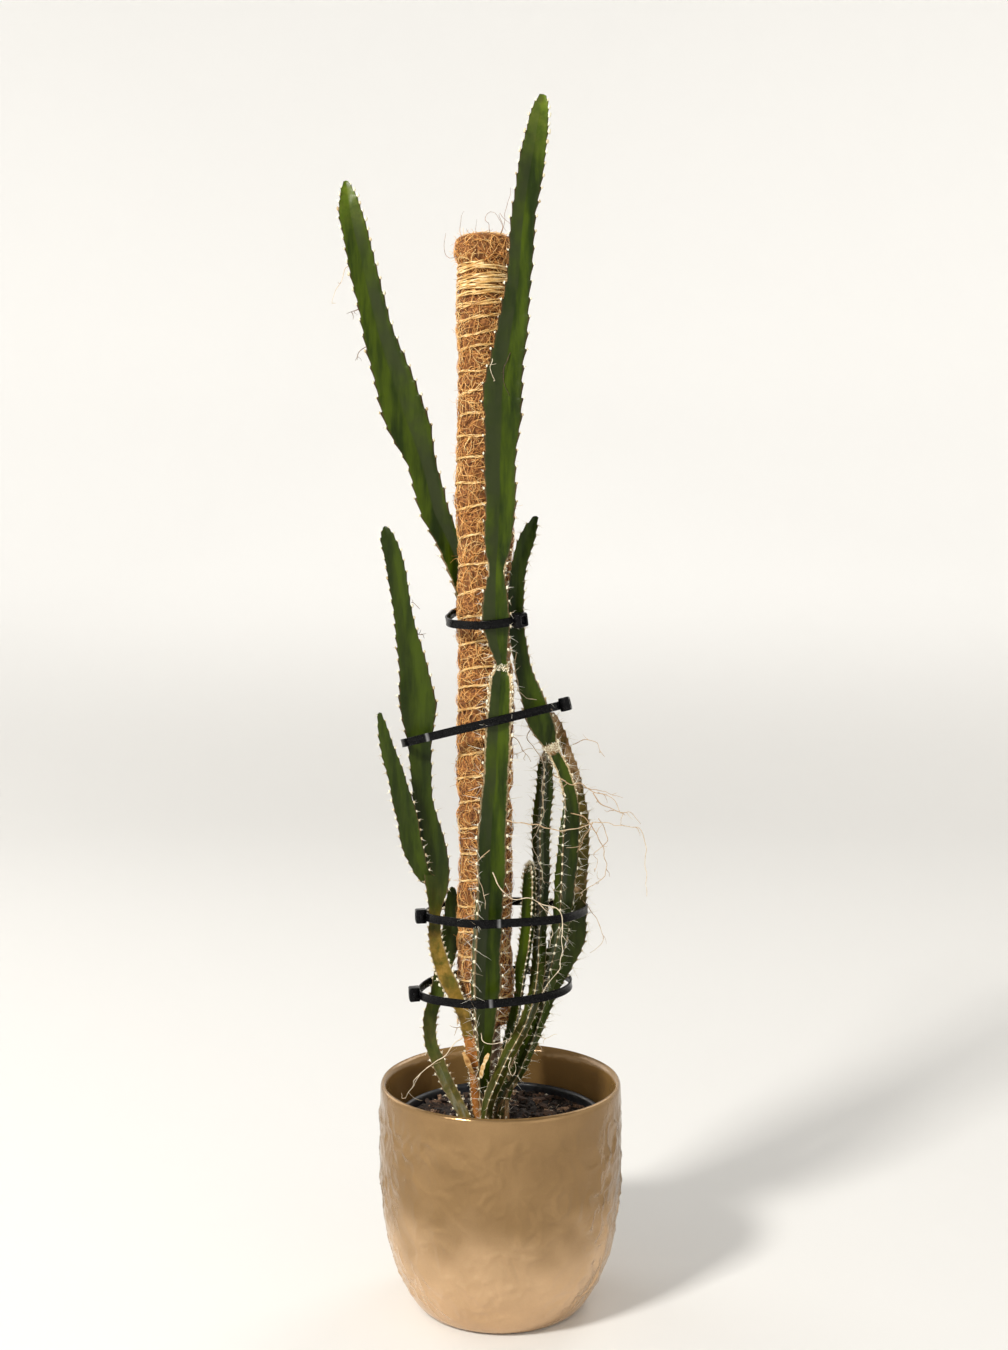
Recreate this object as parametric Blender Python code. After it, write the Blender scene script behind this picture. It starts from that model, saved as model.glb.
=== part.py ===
"""Dragon fruit cactus tied to a coir pole, in a nursery pot inside a gold cover pot.

Lengths are in millimetres up to the point where a mesh is made, which turns them into metres.
+Z is up, the front is towards -Y, and the origin is the middle of the cover pot's foot.
"""
import math
import random

import bmesh
import bpy
from mathutils import Vector
from mathutils.geometry import convex_hull_2d

MM = 0.001
GAP = 0.35            # clearance between pieces that touch
SEED = 11

# Cover pot
POT_HEIGHT = 131.5
POT_FOOT_RADIUS = 44.5
POT_BELLY_RADIUS = 70.8
POT_RIM_RADIUS = 70.5
POT_LIP = 4.2         # thickness of the rim
POT_WALL = 5.2
POT_FLOOR = 7.6
POT_SEGMENTS = 36
HAMMER_DEPTH = 0.35

# Nursery pot and soil
NURSERY_RIM_RADIUS = 60.5
NURSERY_FOOT_RADIUS = 43.0
NURSERY_WALL = 1.0
NURSERY_LIP_HEIGHT = 4.0
NURSERY_BOTTOM = POT_FLOOR + GAP
NURSERY_RIM_HEIGHT = 110.0
NURSERY_SEGMENTS = 32
DRAIN_RADIUS = 4.0
DRAIN_RING = 26.0
SOIL_LEVEL = 105.0
SOIL_MOUND = 2.5      # how much higher the soil is in the middle
SOIL_BUMP = 1.3
SOIL_SEGMENTS = 28
SOIL_RINGS = (0.86, 0.72, 0.58, 0.44, 0.3, 0.15)    # shares of the radius at the top
HOLE_TOP = 130.0      # the cutters for the holes in the soil end above it
FOOT_BOTTOM = 74.0    # how deep the stems stand in the soil
FOOT_TOP = 109.0

# Climbing pole
POLE_X = -9.0
POLE_Y = 0.0
STAKE_RADIUS = 9.0
STAKE_BOTTOM = 22.0
STAKE_TOP = 600.0
STAKE_POINT = 2.0     # radius of the blunt point
STAKE_TAPER = 16.0
STAKE_SIDES = 12
COIR_BOTTOM = 166.0
COIR_TOP = 617.0
COIR_RADIUS = 15.6
POLE_SIDES = 12
TWINE_THICK = 1.5
TWINE_WIDE = 2.6

# Cable ties
STRAP_WIDE = 4.8
STRAP_THICK = 1.3
HEAD_SIZE = (6.2, 7.6, 8.0)
HEAD_LIFT = 0.3                # from the strap's inner face to the head's
TAIL_SIZE = (1.4, 2.4, 4.0)    # the cut end of the strap, where it leaves the head
TIE_POINTS = 44

# Stems
RIBS = 3
TOOTH = 0.9           # how far an areole stands out of the rib's edge
NEEDLE_SIDES = 3
NEEDLE_RADIUS = 0.5   # at its foot
ROOT_RADIUS = 0.65
ROOT_STEP = 6.5

# Each stem is a list of stations up its middle: x, y, z, and the length of a rib from the middle.
# The bow stem is the short one that leans out to the left and comes back to the pole.
FRONT_STEM = [
    (-9.5, -19.5, FOOT_TOP, 3.1), (-10, -20.5, 121, 3.6), (-10.5, -21.5, 139, 4.3),
    (-10.5, -24.5, 158, 5.8), (-11, -26, 176, 8.8), (-11, -26.5, 191, 10.8), (-10.5, -27, 212, 10.6),
    (-9, -27, 238, 10.2), (-7, -27, 263, 9.8), (-5, -26.5, 288, 9.0), (-2.5, -26, 309, 7.9),
    (-2, -26, 325, 8.2), (-2, -25.5, 342, 7.4), (-1.5, -25, 362, 6.2), (0, -24.5, 373, 3.9),
    (-1.5, -25.5, 390, 6.6), (-2.5, -26, 402, 8.5), (-2.5, -26, 415, 7.4), (-2.3, -25.5, 429, 5.0),
    (-1, -28, 446, 8.4), (0, -29.5, 470, 9.2), (0, -30, 488, 9.4), (1, -31, 510, 11.0),
    (1.3, -31, 525, 11.8), (4, -32, 545, 10.2), (7, -33, 564, 8.8), (10, -34.5, 585, 7.3),
    (12.3, -37, 616, 7.2), (15, -40, 636, 7.5), (18, -43, 653, 7.4), (20, -45, 666, 6.1),
    (21.8, -47, 676, 3.8), (23, -48, 681.5, 1.4)]
BACK_STEM = [
    (-8, 17, FOOT_TOP, 3.4), (-8.5, 18.5, 130, 4.0), (-9, 21, 160, 5.0), (-9.5, 24.5, 200, 6.5),
    (-10, 25.5, 250, 7.5), (-11, 26, 295, 8.0), (-12, 26, 330, 8.0), (-13, 26, 365, 8.4),
    (-15.5, 26, 395, 8.2), (-20, 25, 418, 8.0), (-28.3, 23, 441, 7.9), (-33, 21.5, 451, 8.2),
    (-38.5, 20, 463, 9.0), (-41.6, 19, 476, 9.3), (-45.6, 18, 491, 9.4), (-52, 17, 510, 13.2),
    (-58.5, 16, 529, 13.5), (-67.6, 14, 557, 10.3), (-74.4, 13.5, 583, 8.8), (-80.2, 13, 609, 8.5),
    (-83.7, 12.5, 624, 7.9), (-86, 12, 636, 6.8), (-87.4, 12, 644, 4.3), (-88.2, 12, 650, 1.4)]
BOW_STEM = [
    (-16.7, -23, FOOT_TOP, 3.4), (-22.5, -16, 119, 3.9), (-30, -7, 130, 4.1), (-36.5, 1, 142, 4.1),
    (-41, 5.5, 153, 4.1), (-41.5, 9, 166, 4.2), (-38.5, 12, 176, 4.4), (-35.5, 15, 187, 5.0),
    (-31.5, 18.5, 203, 5.8), (-29, 21.5, 218, 5.9), (-28.5, 22.5, 230, 5.0), (-29, 23, 240, 1.8)]
LEFT_STEM = [
    (-13.5, -12.5, FOOT_TOP, 2.9), (-13.8, -13, 120, 3.1), (-15.3, -15.2, 143, 3.3),
    (-18, -17, 161, 3.4), (-21.5, -15.8, 176, 4.0), (-28.5, -11, 190, 5.1), (-34, -7, 202, 4.9),
    (-38, -3, 217, 4.1), (-38, -0.5, 230, 3.8), (-37, 1, 247, 7.5), (-37.6, 2, 264, 8.1),
    (-44.8, 3, 296, 6.4), (-46.3, 3, 325, 7.3), (-47.4, 3, 343, 10.6), (-47.6, 3, 355, 11.6),
    (-51.7, 3, 381, 8.2), (-56.5, 2, 407, 5.8), (-59.6, 1, 429, 6.0), (-64, 0, 446, 4.6),
    (-66, 0, 453.5, 1.4)]
LEFT_BRANCH = [
    (-40, 0.5, 249, 3.6), (-45.5, -2, 255, 4.6), (-50.4, -4.5, 270, 6.5), (-53.9, -5.5, 288, 6.7),
    (-59.5, -6, 310, 5.5), (-66, -6, 332, 3.9), (-69.3, -6, 347, 1.2)]
RIGHT_STEM = [
    (-1, -23.5, FOOT_TOP, 3.4), (0.5, -22.5, 123, 4.2), (4, -19, 132, 4.5), (9.5, -16, 140, 4.7),
    (14, -12.5, 149, 5.0), (18, -9, 158, 5.3), (23.3, -5.5, 173, 5.3), (28.5, -4, 197, 5.3),
    (34, -9, 223, 5.7), (36, -12, 249, 6.9), (38, -13, 277, 6.9), (39, -12, 297, 5.3),
    (35, -10.5, 314, 4.4), (29.5, -10, 326, 4.0), (24.5, -10.5, 338, 7.4), (20.5, -11.5, 350, 8.1),
    (15.5, -12.5, 364, 6.3), (12, -13.8, 378, 5.1), (9.2, -14.5, 396, 4.8), (8.5, -14.5, 412, 4.9),
    (11, -13.5, 434, 4.8), (15.5, -12, 448, 4.6), (20, -10, 459, 1.4)]
RIGHT_BRANCH = [
    (19, -8, 162, 3.6), (23.5, -3.5, 172, 4.4), (28, 0.5, 182, 4.8), (33, 3, 192, 5.0),
    (38, 4.5, 200, 5.1), (42, 5.5, 208, 5.5), (44.3, 6, 219, 6.0), (45.3, 6, 240, 4.9),
    (47, 6, 262, 4.4), (47.2, 6, 284, 4.2), (43, 6, 309, 3.3), (39, 6, 322, 3.0),
    (33, 5.5, 338, 3.0), (29.5, 5, 346, 1.8)]
INNER_STEM = [
    (-8.5, -30.5, FOOT_TOP, 3.2), (-7.5, -30, 125, 3.9), (-2.3, -28, 139, 4.3), (4.8, -24.5, 154, 4.5),
    (15.6, -19, 174, 4.3), (21, -12, 195, 4.6), (22.5, -5.5, 222, 4.6), (23.5, -3, 251, 5.4),
    (23, -2, 278, 6.0), (25, -1.5, 301, 5.6), (25.6, -1, 315, 4.0), (26, -1, 324, 1.6)]
SMALL_STEM = [
    (2.4, -8, FOOT_TOP, 3.0), (2.3, -8.5, 126, 3.3), (2.2, -10, 140, 3.7), (3.8, -11, 150, 3.9),
    (8, -11.5, 170, 3.9), (11, -12.5, 186, 2.9), (12.5, -13.5, 200, 4.3), (15.6, -14, 221, 4.4),
    (16.7, -13.5, 245, 4.4), (16.9, -13, 262, 2.2)]

# The thick aerial roots, each from inside its stem outwards.
FRONT_ROOTS = [
    [(-3, -27, 291), (6.5, -31, 288.5), (18.5, -29, 287), (31, -27, 283.5), (43.5, -25, 283.5),
     (53, -22, 286.5), (68, -18, 284), (80, -15, 281), (83, -14, 270), (83, -14.5, 256),
     (83.5, -16, 243)],
    [(-5.5, -28, 262), (-1, -34, 253), (6.5, -32, 246), (16, -26, 244), (21.5, -22, 238.5)]]
BACK_ROOTS = [
    [(-82, 12, 606), (-88, 11, 602), (-91.5, 10.5, 594), (-97.5, 10, 581)]]
LEFT_ROOTS = [
    [(-18, -16.5, 164), (-25.5, -19, 159), (-32, -21, 152), (-42, -22, 145.5), (-49, -20, 137),
     (-55, -15, 124)]]
RIGHT_ROOTS = [
    [(35, -11, 313), (43, -19, 308.5), (53, -20, 306), (61, -20, 301), (70.5, -18, 291.5)],
    [(38, -13, 290), (47, -15, 289.5), (53.5, -15.5, 286), (59.5, -17, 271), (60, -17, 258),
     (51, -15, 246), (45, -13.5, 241)]]

# A tie: middle of its loop, half width, half depth, rise to the right and dip at the front in
# degrees, where its head lies, and how far past the loop's ends it still holds a stem.
TIES = {
    "tie_top": ((-9.0, -1.0, 403.0), 21.0, 24.0, 7.0, 8.0, (15.0, -26.0), 4.0),
    "tie_upper": ((-11.6, 2.0, 339.9), 46.5, 18.0, 13.6, -5.5, (47.0, -9.0), 0.5),
    "tie_middle": ((2.4, -3.0, 231.2), 44.0, 31.0, 1.2, -1.7, (-45.0, -9.0), 6.0),
    "tie_lower": ((-2.6, -3.0, 187.4), 43.0, 32.0, 3.0, 1.1, (-44.0, -9.0), 6.0)}
NEEDLE_CLEAR = 6.0    # how far from the middle of a tie's strap the needles start


def clear_scene():
    for thing in list(bpy.data.objects):
        bpy.data.objects.remove(thing, do_unlink=True)


def finish_material(name, colour, roughness, metallic=0.0):
    """A Principled BSDF with one colour, roughness and metallic value."""
    material = bpy.data.materials.new(name)
    material.use_nodes = True
    shader = material.node_tree.nodes["Principled BSDF"]
    shader.inputs["Base Color"].default_value = (*colour, 1.0)
    shader.inputs["Roughness"].default_value = roughness
    shader.inputs["Metallic"].default_value = metallic
    material.diffuse_color = (*colour, 1.0)
    return material


def new_object(name, points, faces, material=None):
    """An object whose mesh has these points, given in millimetres."""
    mesh = bpy.data.meshes.new(name)
    mesh.from_pydata([Vector(p) * MM for p in points], [], faces)
    mesh.validate()
    if material:
        mesh.materials.append(material)
    thing = bpy.data.objects.new(name, mesh)
    bpy.context.collection.objects.link(thing)
    return thing


def face_outwards(thing):
    """Turn every face of a closed mesh to point out."""
    work = bmesh.new()
    work.from_mesh(thing.data)
    bmesh.ops.recalc_face_normals(work, faces=work.faces)
    work.to_mesh(thing.data)
    work.free()


def smooth_shading(thing, angle):
    thing.data.shade_smooth()
    thing.data.set_sharp_from_angle(angle=math.radians(angle))


def apply_modifiers(thing):
    """Replace the mesh by what its modifiers make of it."""
    graph = bpy.context.evaluated_depsgraph_get()
    made = bpy.data.meshes.new_from_object(thing.evaluated_get(graph))
    thing.modifiers.clear()
    old = thing.data
    thing.data = made
    bpy.data.meshes.remove(old)


def join_to(thing, extras):
    """One Boolean union of a solid and everything that grows out of it."""
    if not extras:
        return
    group = bpy.data.collections.new(thing.name + "_extras")
    bpy.context.scene.collection.children.link(group)
    for extra in extras:
        for owner in list(extra.users_collection):
            owner.objects.unlink(extra)
        group.objects.link(extra)
    union = thing.modifiers.new("union", "BOOLEAN")
    union.operation = "UNION"
    union.operand_type = "COLLECTION"
    union.collection = group
    union.solver = "MANIFOLD"
    apply_modifiers(thing)
    for extra in extras:
        bpy.data.objects.remove(extra, do_unlink=True)
    bpy.data.collections.remove(group)


def cut_from(thing, cutters):
    """Take closed cutters out of a solid and remove them."""
    for cutter in cutters:
        cutter.hide_render = True
        cutter.display_type = "WIRE"
        cut = thing.modifiers.new("cut", "BOOLEAN")
        cut.operation = "DIFFERENCE"
        cut.object = cutter
        cut.solver = "EXACT"
        apply_modifiers(thing)
        bpy.data.objects.remove(cutter, do_unlink=True)


def ring_faces(rows, count, closed_rows=False):
    """Quads between rings of count points, with flat caps unless the rows close on themselves."""
    faces = []
    last = rows if closed_rows else rows - 1
    for row in range(last):
        after = (row + 1) % rows
        for i in range(count):
            j = (i + 1) % count
            faces.append((row * count + i, row * count + j, after * count + j, after * count + i))
    if not closed_rows:
        faces.append(tuple(range(count - 1, -1, -1)))
        faces.append(tuple((rows - 1) * count + i for i in range(count)))
    return faces


def turned_solid(name, outline, segments, material, centre=(0.0, 0.0), wobble=None):
    """A profile of (radius, height) points turned round Z; a radius of 0 closes at the axis."""
    points = []
    rows = []
    for row, (radius, height) in enumerate(outline):
        if radius == 0:
            rows.append([len(points)])
            points.append((centre[0], centre[1], height))
            continue
        rows.append(list(range(len(points), len(points) + segments)))
        for i in range(segments):
            angle = 2 * math.pi * i / segments
            reach = radius + (wobble(row, i) if wobble else 0.0)
            points.append((centre[0] + reach * math.cos(angle),
                           centre[1] + reach * math.sin(angle), height))
    faces = []
    for low, high in zip(rows, rows[1:]):
        for i in range(segments):
            j = (i + 1) % segments
            if len(low) == 1:
                faces.append((low[0], high[j], high[i]))
            elif len(high) == 1:
                faces.append((low[i], low[j], high[0]))
            else:
                faces.append((low[i], low[j], high[j], high[i]))
    thing = new_object(name, points, faces, material)
    face_outwards(thing)
    return thing


def spline(stations, position):
    """A point of the smooth curve through the stations; position counts stations from 0."""
    last = len(stations) - 1
    index = min(int(position), last - 1)
    t = position - index
    before = stations[max(index - 1, 0)]
    start = stations[index]
    end = stations[index + 1]
    after = stations[min(index + 2, last)]
    return tuple(
        0.5 * (2 * b + (c - a) * t + (2 * a - 5 * b + 4 * c - d) * t * t
               + (3 * b - a - 3 * c + d) * t ** 3)
        for a, b, c, d in zip(before, start, end, after))


def even_positions(stations, step):
    """Positions along the spline that lie step millimetres apart, ends included."""
    fine = 24
    positions = [i / fine for i in range(fine * (len(stations) - 1) + 1)]
    points = [Vector(spline(stations, p)[:3]) for p in positions]
    lengths = [0.0]
    for a, b in zip(points, points[1:]):
        lengths.append(lengths[-1] + (b - a).length)
    count = max(2, round(lengths[-1] / step))
    chosen = []
    index = 0
    for i in range(count + 1):
        wanted = lengths[-1] * i / count
        while index < len(lengths) - 2 and lengths[index + 1] < wanted:
            index += 1
        span = lengths[index + 1] - lengths[index]
        share = (wanted - lengths[index]) / span if span else 0.0
        chosen.append(positions[index] + share / fine)
    return chosen


def stem_frame(stations, position):
    """Middle, direction, right and back vectors of a stem, and its rib length."""
    last = len(stations) - 1
    here = spline(stations, position)
    ahead = Vector(spline(stations, min(position + 0.05, last))[:3])
    behind = Vector(spline(stations, max(position - 0.05, 0.0))[:3])
    along = (ahead - behind).normalized()
    back = Vector((0, 1, 0)) - along * along.y
    back.normalize()
    right = back.cross(along)
    return Vector(here[:3]), along, right, back, max(here[3], 0.8)


def stem_solid(name, stations, step, roll, round_foot, material=None, short_back=0.85):
    """A three-ribbed stem: a star section carried up the stations.

    Each rib has a point at its edge and two on its flanks. Every second ring has an areole on
    ribs 0 and 2, and the rings between have it on rib 1, as a tooth that leans upwards. roll
    gives the turn of the section in degrees at a height, round_foot the height below which the
    ribs fade into a round, corky base. Returns the object and its areoles.
    """
    points = []
    areoles = []
    rows = 0
    if round_foot:
        x, y, top, radius = stations[0]
        for height in (FOOT_BOTTOM, top - 2.0):
            for i in range(3 * RIBS):
                angle = 2 * math.pi * i / (3 * RIBS) + math.radians(90)
                points.append((x + radius * math.cos(angle), y + radius * math.sin(angle), height))
            rows += 1
    positions = even_positions(stations, step)
    for ring, position in enumerate(positions):
        middle, along, right, back, rib = stem_frame(stations, position)
        turn = math.radians(roll(middle.z))
        fade = 1.0
        if round_foot:
            fade = min(1.0, max(0.0, (middle.z - FOOT_TOP) / round_foot))
        at_tip = ring >= len(positions) - 1
        for k in range(RIBS):
            angle = turn + math.radians(90 + 120 * k)
            reach = rib * (short_back if k == 0 else 1.0)
            has_areole = (ring + (k == 1)) % 2 == 0 and not at_tip and ring > 0
            for shift, share in ((0, 1.0), (30, 0.5), (90, 0.5)):
                direction = (right * math.cos(angle + math.radians(shift))
                             + back * math.sin(angle + math.radians(shift)))
                round_reach = rib * 0.92
                length = reach * share * fade + round_reach * (1 - fade)
                point = middle + direction * length
                if shift == 0 and has_areole:
                    tooth = TOOTH * min(1.0, rib / 5.0) * (0.4 + 0.6 * fade)
                    point += direction * tooth + along * (0.28 * step)
                    areoles.append((point - direction * (tooth + 0.4), direction, along, fade))
                points.append(tuple(point))
        rows += 1
    thing = new_object(name, points, ring_faces(rows, 3 * RIBS), material)
    face_outwards(thing)
    return thing, areoles


def tube_solid(name, route, radius, sides, material=None):
    """A tube of constant radius through the route's points, thinner at its free end."""
    stations = [(*p, 0.0) for p in route]
    positions = even_positions(stations, ROOT_STEP)
    points = []
    for ring, position in enumerate(positions):
        middle, along, right, back, _ = stem_frame(stations, position)
        if abs(along.y) > 0.9:
            right = Vector((1, 0, 0))
            back = along.cross(right).normalized()
        thick = radius * (1.0 - 0.35 * ring / (len(positions) - 1))
        for i in range(sides):
            angle = 2 * math.pi * i / sides
            points.append(tuple(middle + thick * (right * math.cos(angle) + back * math.sin(angle))))
    thing = new_object(name, points, ring_faces(len(positions), sides), material)
    face_outwards(thing)
    return thing


def near_tie(point):
    """Whether a point lies in the band of stem that a tie goes round."""
    for middle, _, _, rise, dip, _, _ in TIES.values():
        _, _, normal, centre = tie_plane(middle, rise, dip)
        if abs((point - centre).dot(normal)) < NEEDLE_CLEAR:
            return True
    return False


def needle_solid(name, base, direction, along, length, lean):
    """A three-sided spine, sunk in its areole, that leans up or down by lean."""
    aim = (direction + along * lean).normalized()
    side = aim.cross(along).normalized()
    over = side.cross(aim)
    root = base - aim * 1.0
    points = []
    for i in range(NEEDLE_SIDES):
        angle = 2 * math.pi * i / NEEDLE_SIDES
        points.append(tuple(root + NEEDLE_RADIUS * (side * math.cos(angle) + over * math.sin(angle))))
    points.append(tuple(root + aim * (length + 1.0)))
    faces = [(0, 1, 3), (1, 2, 3), (2, 0, 3), (0, 2, 1)]
    thing = new_object(name, points, faces)
    face_outwards(thing)
    return thing


def add_needles(areoles, every, length, draw):
    """Spines on every so many areoles, even up the stem and on all its ribs."""
    made = []
    for index, (base, direction, along, fade) in enumerate(areoles):
        lean = draw.uniform(-0.5, 0.9)
        share = draw.uniform(0.75, 1.1)
        if index % every or fade < 0.3 or near_tie(base):
            continue
        made.append(needle_solid("needle", base, direction, along, length * share, lean))
    return made


def grow_stem(name, parts, roots, material):
    """One plant stem with its branches, roots and spines in a single solid.

    Each part is (stations, step, roll, round foot, needle spacing, needle length, short back rib).
    """
    draw = random.Random(SEED + len(name))
    extras = []
    whole = None
    for stations, step, roll, foot, every, length, short_back in parts:
        solid, areoles = stem_solid(name if whole is None else name + "_part", stations, step,
                                    roll, foot, material, short_back)
        if whole is None:
            whole = solid
        else:
            extras.append(solid)
        extras += add_needles(areoles, every, length, draw)
    for route in roots:
        extras.append(tube_solid(name + "_root", route, ROOT_RADIUS, 4))
    join_to(whole, extras)
    smooth_shading(whole, 35)
    return whole


def cover_pot(material):
    """The hammered cover pot: a deep bowl with a rounded lip and a flat foot."""
    draw = random.Random(SEED)
    outer = [(POT_FOOT_RADIUS, 0), (POT_FOOT_RADIUS + 4, 1), (POT_BELLY_RADIUS - 18.6, 5),
             (POT_BELLY_RADIUS - 14.4, 12), (POT_BELLY_RADIUS - 9.4, 23),
             (POT_BELLY_RADIUS - 5.2, 36), (POT_BELLY_RADIUS - 2.6, 50),
             (POT_BELLY_RADIUS - 0.9, 66), (POT_BELLY_RADIUS, 84), (POT_BELLY_RADIUS - 0.2, 106),
             (POT_RIM_RADIUS - 0.1, POT_HEIGHT - 3), (POT_RIM_RADIUS - 0.9, POT_HEIGHT - 0.8)]
    hammered = range(3, len(outer) - 1)
    inner = [(POT_RIM_RADIUS - POT_LIP / 2, POT_HEIGHT),
             (POT_RIM_RADIUS - POT_LIP + 0.8, POT_HEIGHT - 0.8),
             (POT_RIM_RADIUS - POT_LIP, POT_HEIGHT - 3),
             (POT_BELLY_RADIUS - POT_WALL, 84), (POT_BELLY_RADIUS - POT_WALL - 2.8, 50),
             (POT_BELLY_RADIUS - POT_WALL - 9, 26), (POT_BELLY_RADIUS - POT_WALL - 16, 13),
             (POT_FOOT_RADIUS + 1.5, POT_FLOOR)]

    def hammer(row, _):
        return draw.uniform(-HAMMER_DEPTH, HAMMER_DEPTH) if row - 1 in hammered else 0.0

    outline = [(0, 0)] + outer + inner + [(0, POT_FLOOR)]
    pot = turned_solid("cover_pot", outline, POT_SEGMENTS, material, wobble=hammer)
    smooth_shading(pot, 40)
    return pot


def nursery_radius(height):
    """Outer radius of the nursery pot's wall at a height."""
    share = (height - NURSERY_BOTTOM) / (NURSERY_RIM_HEIGHT - NURSERY_BOTTOM)
    return NURSERY_FOOT_RADIUS + share * (NURSERY_RIM_RADIUS - 1.5 - NURSERY_FOOT_RADIUS)


def nursery_pot(material):
    """The thin plastic pot that holds the soil, with a folded lip and drain holes."""
    lip_bottom = NURSERY_RIM_HEIGHT - NURSERY_LIP_HEIGHT
    inside_top = nursery_radius(NURSERY_RIM_HEIGHT) - NURSERY_WALL
    outline = [(0, NURSERY_BOTTOM), (NURSERY_FOOT_RADIUS - 1, NURSERY_BOTTOM),
               (NURSERY_FOOT_RADIUS, NURSERY_BOTTOM + 1),
               (nursery_radius(lip_bottom), lip_bottom),
               (NURSERY_RIM_RADIUS, lip_bottom + 0.6), (NURSERY_RIM_RADIUS, NURSERY_RIM_HEIGHT - 0.5),
               (NURSERY_RIM_RADIUS - 0.6, NURSERY_RIM_HEIGHT), (inside_top, NURSERY_RIM_HEIGHT),
               (NURSERY_FOOT_RADIUS - NURSERY_WALL, NURSERY_BOTTOM + NURSERY_WALL),
               (0, NURSERY_BOTTOM + NURSERY_WALL)]
    pot = turned_solid("nursery_pot", outline, NURSERY_SEGMENTS, material)
    cutters = []
    for i in range(5):
        angle = 2 * math.pi * (i + 0.2) / 5
        middle = (DRAIN_RING * math.cos(angle), DRAIN_RING * math.sin(angle))
        cutters.append(turned_solid(
            "drain", [(0, 0), (DRAIN_RADIUS, 0), (DRAIN_RADIUS, 20), (0, 20)], 8, None, middle))
    cut_from(pot, cutters)
    smooth_shading(pot, 40)
    return pot


def soil_block(material, feet):
    """The soil: it fills the nursery pot, and has a plain hole for each stem and for the pole."""
    draw = random.Random(SEED + 1)
    bottom = NURSERY_BOTTOM + NURSERY_WALL + GAP
    slim = NURSERY_WALL + GAP + 0.25
    edge_radius = nursery_radius(SOIL_LEVEL) - slim
    outline = [(0, bottom), (nursery_radius(bottom) - slim, bottom), (edge_radius, SOIL_LEVEL)]
    outline += [(edge_radius * share, SOIL_LEVEL + SOIL_MOUND * (1 - share)) for share in SOIL_RINGS]
    outline += [(0, SOIL_LEVEL + SOIL_MOUND)]
    soil = turned_solid("soil", outline, SOIL_SEGMENTS, material)
    for vertex in soil.data.vertices:
        near_edge = Vector(vertex.co[:2]).length > (edge_radius - 2) * MM
        if vertex.co.z > SOIL_LEVEL * MM - 0.0001 and not near_edge:
            vertex.co.z += draw.uniform(-SOIL_BUMP, SOIL_BUMP) * MM
    cutters = []
    for x, y, radius in feet:
        cutters.append(turned_solid(
            "hole", [(0, FOOT_BOTTOM - GAP), (radius, FOOT_BOTTOM - GAP), (radius, HOLE_TOP),
                     (0, HOLE_TOP)], 3 * RIBS, None, (x, y)))
    stake_hole = STAKE_RADIUS + GAP
    cutters.append(turned_solid(
        "hole", [(0, STAKE_BOTTOM - GAP), (STAKE_POINT + GAP, STAKE_BOTTOM - GAP),
                 (stake_hole, STAKE_BOTTOM + STAKE_TAPER - 2 * GAP), (stake_hole, HOLE_TOP),
                 (0, HOLE_TOP)], STAKE_SIDES, None, (POLE_X, POLE_Y)))
    cut_from(soil, cutters)
    smooth_shading(soil, 50)
    return soil


def coir_radius(height):
    """Radius of the coir sleeve: slim under the tight turns, fluffy at the top, uneven below."""
    if height > 606:
        return COIR_RADIUS + 1.0
    if height > 584:
        return COIR_RADIUS - 1.0
    waist = 1.3 * math.exp(-((height - 298) / 7) ** 2)
    return COIR_RADIUS + 0.5 * math.sin(height / 23) + 0.3 * math.sin(height / 9) - waist


def stake(material):
    """The round wooden stake inside the coir, with a pointed foot."""
    outline = [(0, STAKE_BOTTOM), (STAKE_POINT, STAKE_BOTTOM),
               (STAKE_RADIUS, STAKE_BOTTOM + STAKE_TAPER), (STAKE_RADIUS, STAKE_TOP), (0, STAKE_TOP)]
    pole = turned_solid("pole_stake", outline, STAKE_SIDES, material, (POLE_X, POLE_Y))
    smooth_shading(pole, 40)
    return pole


def coir_sleeve(material):
    """The coir wound on the stake: a thick sleeve that closes over the stake's top."""
    bore = STAKE_RADIUS + GAP
    ring_step = 19
    heights = [COIR_BOTTOM + 2 + ring_step * i for i in range(int((582 - COIR_BOTTOM) / ring_step) + 1)]
    outline = [(0, STAKE_TOP + GAP), (bore, STAKE_TOP + GAP), (bore, COIR_BOTTOM),
               (coir_radius(COIR_BOTTOM) - 2, COIR_BOTTOM)]
    outline += [(coir_radius(height), height) for height in heights]
    outline += [(coir_radius(590), 587), (coir_radius(590), 605), (coir_radius(608), 608),
                (coir_radius(608), 613), (COIR_RADIUS - 1.5, COIR_TOP - 0.8),
                (COIR_RADIUS * 0.6, COIR_TOP), (0, COIR_TOP - 0.5)]
    sleeve = turned_solid("coir_sleeve", outline, POLE_SIDES, material, (POLE_X, POLE_Y))
    smooth_shading(sleeve, 50)
    return sleeve


def twine(material):
    """One piece of twine: a long helix up the sleeve that ends in tight turns near its top."""
    turn_heights = [186.0]
    while turn_heights[-1] < 570:
        turn_heights.append(turn_heights[-1] + 28.5 - 0.012 * (turn_heights[-1] - 186))
    turn_heights += [turn_heights[-1] + 9 + 4.4 * i for i in range(4)]
    points = []
    rows = 0
    for low, high in zip(turn_heights, turn_heights[1:]):
        for i in range(POLE_SIDES):
            height = low + (high - low) * i / POLE_SIDES
            angle = 2 * math.pi * i / POLE_SIDES
            reach = max(coir_radius(height - 1.5), coir_radius(height + 1.5), coir_radius(height))
            reach += GAP + 0.35
            for out, up in ((0.0, -TWINE_WIDE / 2), (TWINE_THICK, 0.0), (0.0, TWINE_WIDE / 2)):
                points.append((POLE_X + (reach + out) * math.cos(angle),
                               POLE_Y + (reach + out) * math.sin(angle), height + up))
            rows += 1
    cord = new_object("twine", points, ring_faces(rows, 3), material)
    face_outwards(cord)
    smooth_shading(cord, 40)
    return cord


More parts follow.
